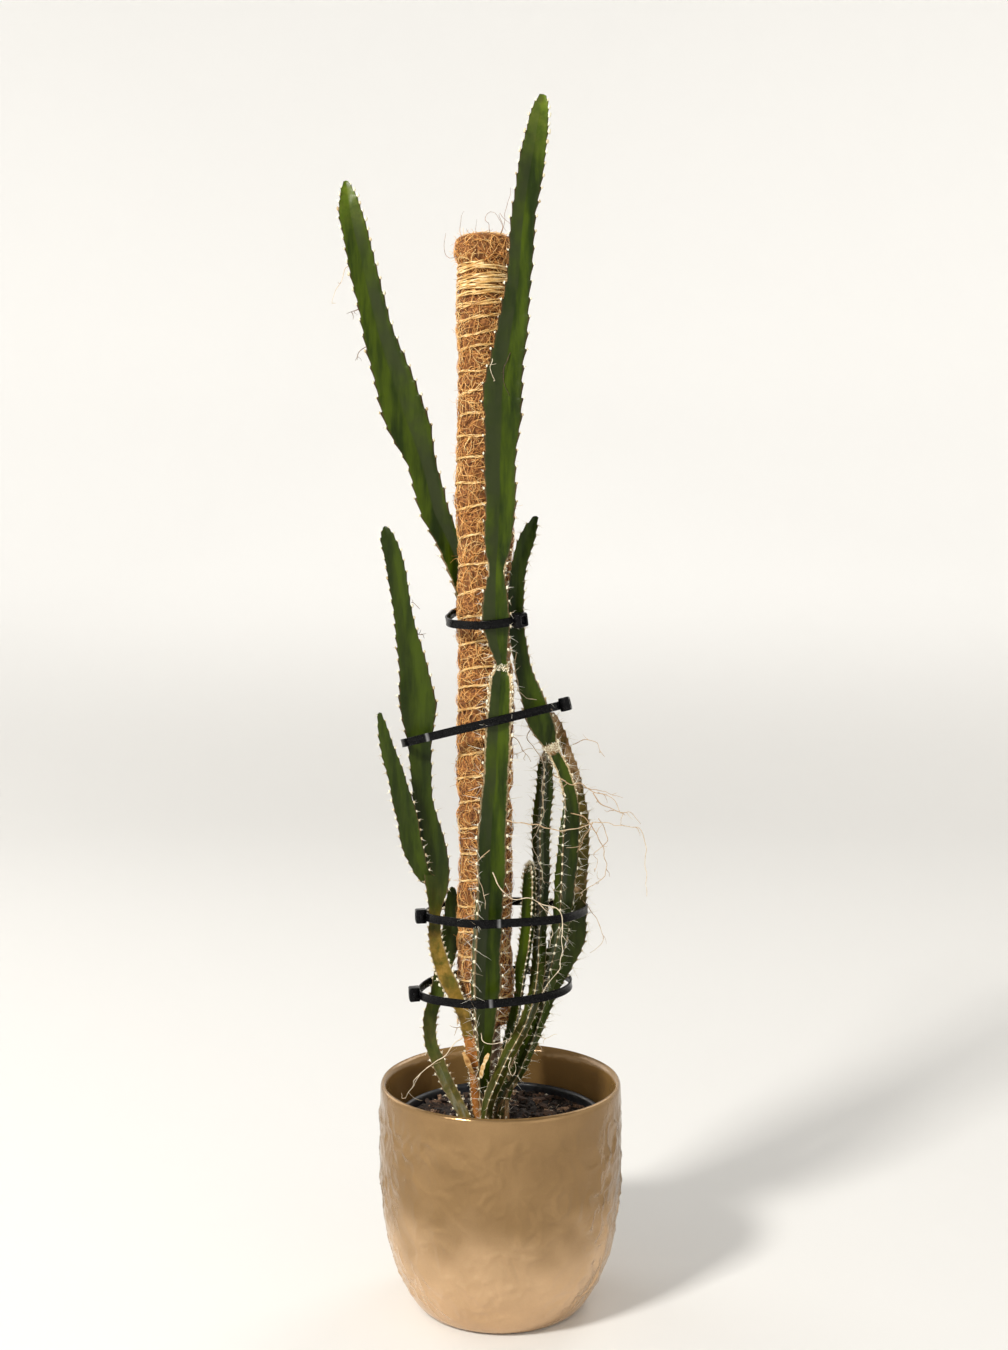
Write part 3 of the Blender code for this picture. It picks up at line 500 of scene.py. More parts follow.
nursery_stops = np.linspace(0, len(NURSERY_PROFILE) - 1, 3 * len(NURSERY_PROFILE) - 2)
nursery_rings = turn_round(curve_at(NURSERY_PROFILE, nursery_stops), NURSERY_COLUMNS)
nursery_body = capped_grid(nursery_rings, (0, 0, NURSERY_BOTTOM), (0, 0, NURSERY_FLOOR))
plastic, scuffs = grained_finish("nursery_plastic", 0.42, (3.0, 5, 0.7), [
    (0.4, (0.006, 0.007, 0.009)), (0.62, (0.018, 0.020, 0.026)), (0.8, (0.09, 0.075, 0.06))], 0.05)
to_shader(plastic, "Roughness", spread_between(plastic, scuffs, 0.3, 0.8, 0.3, 0.65))
add_piece("nursery_pot_wall", [(*nursery_body, {})], plastic, "nursery_pot", ("nursery_pot",))

# %% [markdown]
# ## The stems
# A dragon fruit stem has three ribs, with a narrow, hard edge on each. Along the edge sit areoles,
# the small cream cushions that carry the spines, each on a low tooth that points up. The middle line
# of every stem is a list of given stations: x, y, z, and the length of a rib. A star-shaped
# section is carried along that line, close enough together to hold the teeth.

# %% The stems' middle lines
FOOT_TOP = 109.0
FOOT_BOTTOM = 74.0
FRONT_STEM = [
    (-9.5, -19.5, FOOT_TOP, 3.1), (-10, -20.5, 121, 3.6), (-10.5, -21.5, 139, 4.3),
    (-10.5, -24.5, 158, 5.8), (-11, -26, 176, 8.8), (-11, -26.5, 191, 10.8), (-10.5, -27, 212, 10.6),
    (-9, -27, 238, 10.2), (-7, -27, 263, 9.8), (-5, -26.5, 288, 9.0), (-2.5, -26, 309, 7.9),
    (-2, -26, 325, 8.2), (-1, -25.5, 342, 7.8), (-0.2, -25, 362, 7.2), (0.2, -24.7, 369, 6.3),
    (0.8, -24.5, 374, 4.0), (0.6, -24.7, 379, 3.7), (-1.5, -25.5, 390, 6.6),
    (-2.5, -26, 402, 8.5), (-2.5, -26, 415, 7.4), (-2.3, -25.5, 429, 5.0),
    (-1, -28, 446, 8.4), (0, -29.5, 470, 9.2), (0, -30, 488, 9.4), (1, -31, 510, 11.0),
    (1.3, -31, 525, 11.8), (4, -32, 545, 10.2), (7, -33, 564, 8.8), (10, -34.5, 585, 7.3),
    (12.3, -37, 616, 7.2), (15, -40, 636, 7.5), (18, -43, 653, 7.4), (20, -45, 666, 6.1),
    (21.8, -47, 676, 4.4), (22.9, -48, 681.2, 2.0)]
BACK_STEM = [
    (-8, 17, FOOT_TOP, 3.4), (-8.5, 18.5, 130, 4.0), (-9, 21, 160, 5.0), (-9.5, 24.5, 200, 6.5),
    (-10, 25.5, 250, 7.5), (-11, 26, 295, 8.0), (-12, 26, 330, 8.0), (-13, 26, 365, 8.4),
    (-15.5, 26, 395, 8.2), (-20, 25, 418, 8.0), (-28.3, 23, 441, 7.9), (-33, 21.5, 451, 8.2),
    (-38.5, 20, 463, 9.0), (-41.6, 19, 476, 9.3), (-45.6, 18, 491, 9.4), (-52, 17, 510, 13.2),
    (-58.5, 16, 529, 13.5), (-67.6, 14, 557, 10.3), (-74.4, 13.5, 583, 8.8), (-80.2, 13, 609, 8.5),
    (-83.7, 12.5, 624, 7.9), (-86, 12, 636, 6.8), (-87.4, 12, 644, 4.3), (-88.2, 12, 650, 1.4)]
BOW_STEM = [
    (-16.7, -23, FOOT_TOP, 3.4), (-22.5, -16, 119, 3.9), (-30, -7, 130, 4.1), (-36.5, 1, 142, 4.1),
    (-41, 5.5, 153, 4.1), (-41.5, 9, 166, 4.2), (-38.5, 12, 176, 4.4), (-35.5, 15, 187, 5.0),
    (-31.5, 18.5, 203, 5.8), (-29, 21.5, 218, 5.9), (-28.5, 22.5, 230, 5.0), (-29, 23, 240, 1.8)]
LEFT_STEM = [
    (-13.5, -12.5, FOOT_TOP, 2.9), (-13.8, -13, 120, 3.1), (-15.3, -15.2, 143, 3.3),
    (-18, -17, 161, 3.4), (-21.5, -15.8, 176, 4.0), (-28.5, -11, 190, 5.1), (-34, -7, 202, 4.9),
    (-38, -3, 217, 4.1), (-38, -0.5, 230, 3.8), (-37, 1, 247, 7.5), (-37.6, 2, 264, 8.1),
    (-44.8, 3, 296, 6.4), (-46.3, 3, 325, 7.3), (-47.4, 3, 343, 10.6), (-47.6, 3, 355, 11.6),
    (-51.7, 3, 381, 8.2), (-56.5, 2, 407, 5.8), (-59.6, 1, 429, 6.0), (-64, 0, 446, 4.6),
    (-66, 0, 453.5, 1.4)]
LEFT_BRANCH = [
    (-40, 0.5, 249, 3.6), (-45.5, -2, 255, 4.6), (-50.4, -4.5, 270, 6.5), (-53.9, -5.5, 288, 6.7),
    (-59.5, -6, 310, 5.5), (-66, -6, 332, 3.9), (-69.3, -6, 347, 1.2)]
RIGHT_STEM = [
    (-1, -23.5, FOOT_TOP, 3.4), (0.5, -22.5, 123, 4.2), (4, -19, 132, 4.5), (9.5, -16, 140, 4.7),
    (14, -12.5, 149, 5.0), (18, -9, 158, 5.3), (23.3, -5.5, 173, 5.3), (28.5, -4, 197, 5.3),
    (34, -9, 223, 5.7), (36, -12, 249, 6.9), (38, -13, 277, 6.9), (39, -12, 297, 5.3),
    (35, -10.5, 314, 4.4), (29.5, -10, 326, 4.0), (24.5, -10.5, 338, 7.4), (20.5, -11.5, 350, 8.1),
    (15.5, -12.5, 364, 6.3), (12, -13.8, 378, 5.1), (9.2, -14.5, 396, 4.8), (8.5, -14.5, 412, 4.9),
    (11, -13.5, 434, 4.8), (15.5, -12, 448, 4.6), (20, -10, 459, 1.4)]
RIGHT_BRANCH = [
    (19, -8, 162, 3.6), (23.5, -3.5, 172, 4.4), (28, 0.5, 182, 4.8), (33, 3, 192, 5.0), (38, 4.5, 200, 5.1),
    (42, 5.5, 208, 5.5), (44.3, 6, 219, 6.0), (45.3, 6, 240, 4.9), (47, 6, 262, 4.4), (47.2, 6, 284, 4.2),
    (43, 6, 309, 3.3), (39, 6, 322, 3.0), (33, 5.5, 338, 3.0), (29.5, 5, 346, 1.8)]
INNER_STEM = [
    (-8.5, -30.5, FOOT_TOP, 3.2), (-7.5, -30, 125, 3.9), (-2.3, -28, 139, 4.3), (4.8, -24.5, 154, 4.5),
    (15.6, -19, 174, 4.3), (21, -12, 195, 4.6), (22.5, -5.5, 222, 4.6), (23.5, -3, 251, 5.4),
    (23, -2, 278, 6.0), (25, -1.5, 301, 5.8), (25.6, -1, 314, 5.0), (25.9, -1, 320, 3.8),
    (26, -1, 324.5, 1.2)]
SMALL_STEM = [
    (2.4, -8, FOOT_TOP, 3.0), (2.3, -8.5, 126, 3.3), (2.2, -10, 140, 3.7), (3.8, -11, 150, 3.9),
    (8, -11.5, 170, 3.9), (11, -12.5, 186, 2.9), (12.5, -13.5, 200, 4.3), (15.6, -14, 221, 4.6),
    (16.7, -13.5, 243, 4.7), (16.9, -13.2, 254, 4.2), (16.9, -13, 259.5, 2.9), (16.9, -13, 262.5, 0.9)]


# %% [markdown]
# ### The section and its rings
# Measured from the middle of the stem, a straight flank between rib and valley has the reach
# 1 / (cos a + k sin a), where a is the angle from the rib. Both the edge and the valley are rounded
# by bending that angle a little before it goes in. The rings stand square to the middle line. A
# stem's roll turns its section about that line, in degrees: at 0 one rib faces the back.

# %% The section of a stem
FLANK_SLOPE = 2.55
EDGE_ROUNDING = 0.045
VALLEY_ROUNDING = 4.0
RIB_ANGLES = np.array([-60, -50, -39, -28, -18, -10, -5.5, -2.5, 0, 2.5, 5.5, 10, 18, 28, 39, 50])
EDGE_COLUMN = 8
RING_STEP = 1.25
TOOTH = 1.35
TOOTH_PEAK = 0.86
WOOLLY_EDGE = 0.6
COLLAR_HALF = 1.5
NOWHERE = -99.0


def section_reach(angle):
    """Reach of the section as a share of the rib's length, for an angle in degrees from the rib."""
    bent = 60 - np.sqrt((60 - np.abs(angle)) ** 2 + VALLEY_ROUNDING ** 2)
    bent = np.radians(np.clip(bent, 0, 60))
    aside = np.sqrt(np.sin(bent) ** 2 + EDGE_ROUNDING ** 2) - EDGE_ROUNDING
    return 1 / (np.cos(bent) + FLANK_SLOPE * aside)


def frames_along(route, positions):
    """Middle, direction, right and back vectors and the last column of the route at each position."""
    last = len(route) - 1
    here = curve_at(route, positions)
    ahead = curve_at(route, np.minimum(positions + 0.05, last))[:, :3]
    behind = curve_at(route, np.maximum(positions - 0.05, 0))[:, :3]
    along = ahead - behind
    along /= np.linalg.norm(along, axis=1)[:, None]
    back = np.array([0.0, 1.0, 0.0]) - along * along[:, 1:2]
    back /= np.linalg.norm(back, axis=1)[:, None]
    right = np.cross(back, along)
    return here[:, :3], along, right, back, here[:, 3]


def table_of(stops, heights):
    """Reads a list of (height, value) at the given heights."""
    stops = np.asarray(stops, float)
    return np.interp(heights, stops[:, 0], stops[:, 1])


def bloom_and_sheen_layer(bloom, height, rib_number, rib_angle):
    """How grey each flank is: the given pair greys the front left and front right flank, a painted sheen over
    the waxy bloom; the rest are middling.
    """
    left, right = bloom
    value = np.full(len(rib_angle), 0.35)
    value[(rib_number == 1) & (rib_angle > 0)] = left
    value[(rib_number == 2) & (rib_angle <= -10)] = right
    return np.broadcast_to(value, (len(height), len(rib_angle)))


def grow_stem(route, spacing, cork, edge_cork, yellow, seed, foot=0, short_back=0.9, roll=((0, 0),),
              bloom=(0.3, 0.3), collars=()):
    """One stem: its rings with their teeth, its skin's layers, its areoles and its corky fringe.

    The reach of a point is the rib's length times the section's share. A tooth rises slowly up the
    stem to each areole and drops behind it, and it fades away from the rib's edge. The fringe is the
    points of old, corky rib edges, and of the collar round each joint. foot is the height over which
    the round foot turns into ribs, and short_back the share that is left of the hidden rib.
    """
    positions, lengths = walk_along(route, RING_STEP)
    middle, along, right, back, rib = frames_along(route, positions)
    if foot:
        x, y, top, radius = route[0]
        sunk = np.array([FOOT_BOTTOM, 90.0, top - 2.0])
        middle = np.concatenate([np.stack([np.full(3, x), np.full(3, y), sunk], axis=1), middle])
        along, right, back = (np.concatenate([v[:1].repeat(3, axis=0), v]) for v in (along, right, back))
        rib = np.concatenate([np.full(3, radius), rib])
        lengths = np.concatenate([sunk - top, lengths])
    height = middle[:, 2]
    rib = np.maximum(rib, 0.8)
    fade = np.clip((height - FOOT_TOP) / foot, 0, 1) if foot else np.ones(len(height))
    turns = np.cumsum(np.gradient(lengths) / table_of(spacing, height))
    offsets = np.array([0.0, 0.5, 0.22])
    rib_angle = np.tile(RIB_ANGLES, 3)
    rib_number = np.repeat(np.arange(3), len(RIB_ANGLES))
    angle = np.radians(table_of(roll, height)[:, None] + 90 + 120 * rib_number + rib_angle)
    near_rib = 0.5 + 0.5 * np.cos(np.radians(3 * rib_angle))
    reach = section_reach(rib_angle)[None, :] * (1 - (1 - short_back) * (rib_number == 0) * near_rib)
    swell = 0.035 * np.sin(turns[:, None] * 1.3 + 2.1 * rib_number + seed)
    swell = 1 + swell * np.exp(-(rib_angle / 30) ** 2)
    share = (turns[:, None] + offsets[rib_number]) % 1
    saw = np.where(share < TOOTH_PEAK, (share / TOOTH_PEAK) ** 1.7, (1 - share) / (1 - TOOTH_PEAK))
    near_edge = np.exp(-(rib_angle / 7.0) ** 2)
    strong = np.clip(table_of(spacing, height) / 8.5, 0.7, 1.1)
    strong = strong * np.minimum(1, rib / 3.2) * (0.3 + 0.7 * fade)
    tooth = TOOTH * saw * near_edge * strong[:, None]
    out = (reach * swell * fade[:, None] + 0.92 * (1 - fade)[:, None]) * rib[:, None] + tooth
    direction = right[:, None] * np.cos(angle)[..., None] + back[:, None] * np.sin(angle)[..., None]
    rings = middle[:, None] + direction * out[..., None] + along[:, None] * (tooth * 0.8)[..., None]
    rings += direction * (0.10 * waves(rings, 9, seed + 40))[..., None]
    edge = np.exp(-(np.abs(rib_angle) / 6.5) ** 1.4) * (0.25 + 0.75 * fade[:, None]) * (0.86 + 0.2 * saw)
    layers = {"edge": edge.ravel(), "bloom": bloom_and_sheen_layer(bloom, height, rib_number, rib_angle).ravel()}
    for name, stops in (("cork", cork), ("edge_cork", edge_cork), ("yellow", yellow)):
        layers[name] = np.repeat(table_of(stops, height), len(rib_angle))
    points, faces = capped_grid(rings, last_pole=rings[-1].mean(axis=0) + along[-1] * 0.7)
    layers = {name: np.concatenate([values, values[:1], values[-1:]]) for name, values in layers.items()}
    areoles = []
    for k in range(3):
        marks = np.arange(math.ceil(turns[0] + offsets[k]), math.floor(turns[-1] + offsets[k]))
        wanted = marks + TOOTH_PEAK - offsets[k]
        column = k * len(RIB_ANGLES) + EDGE_COLUMN
        found = [np.interp(wanted, turns, values) for values in
                 (*rings[:, column].T, *direction[:, column].T, *along.T, fade, rib)]
        areoles.append(np.stack(found, axis=1)[np.interp(wanted, turns, height) > FOOT_TOP + 2])
    woolly = (table_of(edge_cork, height) > WOOLLY_EDGE) & (height > FOOT_TOP + 3)
    collar = np.abs(height[:, None] - np.array([NOWHERE, *collars])).min(axis=1) < COLLAR_HALF
    row, column = np.nonzero(collar[:, None] | (woolly[:, None] & (rib_angle == 0)))
    fringe = np.column_stack([rings[row, column], direction[row, column], along[row], fade[row], rib[row]])
    return points, faces, layers, np.concatenate(areoles), fringe


# %% [markdown]
# ### The skin
# The skin is a deep green with a waxy bloom that turns grey where it has not been rubbed. On the front
# flanks that the mesh marks, the grey is also a painted sheen: a bright room mirrored in the wax. The
# edges are brown and hard on young growth. On old growth they turn to cream cork, and the cork spreads
# over the whole stem. The mesh carries how much of each there is, and the material breaks it up with noise.


# %% Skin material
BROWN_BARK = ((0.28, (0.10, 0.045, 0.018)), (0.5, (0.30, 0.17, 0.075)), (0.72, (0.55, 0.38, 0.20)))
RUST_BARK = ((0.28, (0.16, 0.048, 0.010)), (0.5, (0.44, 0.17, 0.040)), (0.72, (0.62, 0.36, 0.14)))


def stem_skin(name, deep, fresh, bloom, ripe, bark_tones, roughness):
    """Waxy skin: deep and fresh green in long streaks, grey bloom with a painted sheen, hard edges, cork and
    ripe yellow.
    """
    finish = new_finish(name, roughness, Specular_IOR_Level=0.12)
    long_streaks = noise(finish, 7, 4, 0.6, place(finish, (1.0, 1.0, 0.14)))
    clouds = noise(finish, 22, 3)
    fine = noise(finish, 1.6, 4, 0.7)
    green = blend(finish, spread_between(finish, long_streaks, 0.34, 0.66), deep, fresh)
    # Painted sheen: the mesh's bloom layer greys the chosen front flanks as if a bright room were mirrored in
    # the wax; the real bloom on top of it is patchy where rubbed.
    unrubbed = spread_between(finish, clouds, 0.28, 0.6, 0.25, 1.0)
    bloom_and_sheen_share = reckon(finish, "MULTIPLY", layer_of(finish, "bloom"), unrubbed)
    green = blend(finish, bloom_and_sheen_share, green, bloom)
    green = blend(finish, spread_between(finish, fine, 0.45, 0.85, 0.0, 0.22), green, bloom)
    patchy = spread_between(finish, noise(finish, 8, 4, 0.6), 0.32, 0.6, 0.45, 1.0)
    ripe_share = reckon(finish, "MULTIPLY", layer_of(finish, "yellow"), patchy)
    skin = blend(finish, ripe_share, green, ramp(finish, noise(finish, 5, 4, 0.65), *ripe))
    edge = layer_of(finish, "edge")
    horn = ramp(finish, fine, (0.3, (0.020, 0.012, 0.006)), (0.7, (0.075, 0.045, 0.018)))
    edge_cork = layer_of(finish, "edge_cork")
    edge_tone = ramp(finish, noise(finish, 1.1, 3), (0.3, (0.30, 0.19, 0.08)), (0.6, (0.66, 0.52, 0.31)))
    edge_colour = blend(finish, edge_cork, horn, edge_tone)
    ragged = reckon(finish, "ADD", edge, swing(finish, fine, 0.5))
    wide = reckon(finish, "SUBTRACT", 0.72, reckon(finish, "MULTIPLY", edge_cork, 0.40))
    edge_share = spread_between(finish, reckon(finish, "SUBTRACT", ragged, wide), -0.10, 0.14)
    skin = blend(finish, edge_share, skin, edge_colour)
    patches = noise(finish, 6, 6, 0.7, place(finish, (1.0, 1.0, 0.5)))
    bark = ramp(finish, patches, *bark_tones)
    cork = layer_of(finish, "cork")
    limit = reckon(finish, "SUBTRACT", reckon(finish, "ADD", cork, patches), 1.0)
    bark_share = spread_between(finish, limit, -0.06, 0.12)
    skin = blend(finish, bark_share, skin, bark)
    to_shader(finish, "Base Color", skin)
    dull = reckon(finish, "MAXIMUM", bark_share, edge_share)
    to_shader(finish, "Roughness", spread_between(finish, dull, 0.0, 1.0, roughness, 0.85))
    under = bump(finish, long_streaks, 0.35)
    under = bump(finish, reckon(finish, "MULTIPLY", patches, bark_share), 1.4, under)
    bump(finish, fine, 0.05, under)
    return finish


YOUNG_TIP = ((0.3, (0.10, 0.17, 0.012)), (0.5, (0.17, 0.24, 0.02)), (0.72, (0.25, 0.29, 0.04)))
OLD_OCHRE = ((0.3, (0.090, 0.072, 0.008)), (0.5, (0.220, 0.128, 0.020)), (0.72, (0.36, 0.21, 0.045)))
OLD_OLIVE = ((0.3, (0.050, 0.044, 0.006)), (0.5, (0.120, 0.084, 0.013)), (0.72, (0.23, 0.150, 0.032)))
GREEN = stem_skin("skin_green", (0.010, 0.020, 0.001), (0.044, 0.069, 0.002), (0.026, 0.034, 0.011),
                  YOUNG_TIP, BROWN_BARK, 0.28)
YELLOWING = stem_skin("skin_yellowing", (0.011, 0.020, 0.001), (0.038, 0.060, 0.002), (0.032, 0.042, 0.014),
                      OLD_OCHRE, RUST_BARK, 0.30)
OLD = stem_skin("skin_old", (0.008, 0.017, 0.001), (0.036, 0.059, 0.002), (0.028, 0.037, 0.014),
                OLD_OLIVE, BROWN_BARK, 0.38)

# %% [markdown]
# ### Areoles and spines
# An areole is a small woolly cushion, so it is a lumpy ball pressed flat on the rib. One ball is made
# once and copied to every areole as arrays. A spine is a thin tapered tube, bent a little, that leans
# out of its areole in its own direction.


# %% Many small balls and tubes at once
def unit_ball(rows, columns):
    """Points and faces of a ball of radius 1: rings between two poles."""
    tilt = np.radians(np.linspace(-90, 90, rows + 2)[1:-1])
    rings = turn_round(np.stack([np.cos(tilt), np.sin(tilt)], axis=1), columns)
    return capped_grid(rings, (0, 0, -1), (0, 0, 1))


def scatter(shape, centres, axes, lumpy, tints, draw):
    """Copies of a unit shape: each is stretched along its three axes (rows), jittered and moved.

    Each copy has its own tint, from the range tints.
    """
    points, faces = shape
    jitter = 1 + draw.uniform(-lumpy, lumpy, (len(centres), len(points), 1))
    placed = centres[:, None] + np.einsum("npk,nkj->npj", points[None] * jitter, axes)
    start = (np.arange(len(centres)) * len(points))[:, None, None]
    faces = [(f[None] + start).reshape(-1, f.shape[1]) for f in faces]
    return placed.reshape(-1, 3), faces, {"tint": np.repeat(draw.uniform(*tints, len(centres)), len(points))}


def unit(vectors):
    """Vectors of length 1."""
    return vectors / np.maximum(np.linalg.norm(vectors, axis=-1, keepdims=True), 1e-9)


def tubes(paths, radii, sides):
    """Tubes along many paths at once: paths (tubes, points, 3), radii (tubes, points), both in mm."""
    count, rows, _ = paths.shape
    along = unit(np.gradient(paths, axis=1))
    mean = np.abs(along.mean(axis=1))
    helper = np.eye(3)[np.argmin(mean, axis=1)][:, None]
    side = unit(np.cross(along, helper))
    over = np.cross(along, side)
    turn = np.arange(sides) * (2 * np.pi / sides)
    ring = side[:, :, None] * np.cos(turn)[:, None] + over[:, :, None] * np.sin(turn)[:, None]
    points = paths[:, :, None] + ring * radii[..., None, None]
    start = (np.arange(count) * rows * sides)[:, None, None]
    body = (grid_faces(rows, sides)[None] + start).reshape(-1, 4)
    first = np.arange(sides)[::-1] + start[:, 0]
    last = (rows - 1) * sides + np.arange(sides) + start[:, 0]
    return points.reshape(-1, 3), [body, first, last]


def tinted_tubes(paths, radii, sides, tints):
    """Tubes as one chunk of a piece, each with its own tint."""
    points, faces = tubes(paths, np.broadcast_to(radii, paths.shape[:2]), sides)
    return points, faces, {"tint": np.repeat(tints, paths.shape[1] * sides)}


def wanderers(start, heading, length, steps, restless, draw):
    """Paths from the start points that turn their heading a little at every step."""
    turning = np.cumsum(draw.normal(0, restless, (len(start), steps, 3)), axis=1)
    moves = unit(heading[:, None] + turning) * (length / steps)[:, None, None]
    return np.concatenate([start[:, None], start[:, None] + np.cumsum(moves, axis=1)], axis=1)


def areole_cushions(areoles, size, ball, draw):
    """Woolly cushions on the areoles, longer along the rib than across it."""
    centre, out, along, rib = areoles[:, :3], areoles[:, 3:6], areoles[:, 6:9], areoles[:, 10]
    across = unit(np.cross(along, out))
    grow = table_of(size, centre[:, 2]) * draw.uniform(0.75, 1.2, len(areoles)) * np.clip(rib / 5, 0.7, 1.1)
    axes = np.stack([across * 0.8, out * 0.65, along * 1.15], axis=1) * grow[:, None, None]
    return scatter(ball, centre + axes[:, 1] * 0.3, axes, 0.22, (0, 1), draw)


def spine_fans(areoles, count, length, thick, draw):
    """Spines from every areole: count of them, lying in a fan across the rib, bent a little."""
    owner = np.repeat(np.arange(len(areoles)), count)
    centre, out, along = (areoles[owner, i:i + 3] for i in (0, 3, 6))
    across = unit(np.cross(along, out))
    spread = draw.uniform(-1.25, 1.25, (len(owner), 1))
    lean = draw.normal(0.12, 0.55, (len(owner), 1))
    aim = unit(out * np.abs(draw.normal(0.75, 0.3, (len(owner), 1))) + across * spread + along * lean)
    reach = (table_of(length, centre[:, 2]) * draw.uniform(0.45, 1.15, len(owner)))[:, None, None]
    share = np.linspace(0, 1, 3)[None, :, None]
    bend = draw.normal(0, 0.12, (len(owner), 1, 3))
    paths = centre[:, None] + aim[:, None] * share * reach + bend * reach * share ** 2
    radii = thick * np.array([1.0, 0.7, 0.15])[None] * draw.uniform(0.8, 1.2, (len(owner), 1))
    return tinted_tubes(paths, radii, 3, draw.uniform(0, 1, len(owner)))


AREOLE_BALL = unit_ball(3, 6)
FRINGE_BALL = unit_ball(2, 5)


# %% Wool and spine materials
def tinted_finish(name, stops, roughness, speck):
    """A finish whose colour runs through the stops by each copy's own tint, with a fine speckle."""
    finish = new_finish(name, roughness)
    fine = noise(finish, speck, 2)
    tone = reckon(finish, "ADD", layer_of(finish, "tint"), swing(finish, fine, 0.6))
    to_shader(finish, "Base Color", ramp(finish, tone, *stops))
    bump(finish, fine, 0.08)
    return finish


WOOL = tinted_finish("areole_wool", [
    (0.0, (0.46, 0.34, 0.18)), (0.25, (0.74, 0.64, 0.43)), (0.7, (0.92, 0.88, 0.70))], 0.9, 0.4)
SPINE = tinted_finish("spine", [
    (0.0, (0.34, 0.22, 0.11)), (0.25, (0.80, 0.72, 0.54)), (0.6, (0.95, 0.92, 0.80))], 0.45, 1.5)
ROOT = tinted_finish("aerial_root", [
    (0.0, (0.030, 0.018, 0.010)), (0.2, (0.24, 0.125, 0.055)), (0.55, (0.44, 0.29, 0.155)),
    (0.95, (0.80, 0.68, 0.50))], 0.7, 1.2)

# %% [markdown]
# ### The seven stems and two branches
# Each row gives a stem what makes it different: how large its areoles are and how close they sit,
# where cork and yellow have taken over, and how long its spines are. The lists hold pairs of
# (height, value), and the heights between two pairs get a value between theirs.

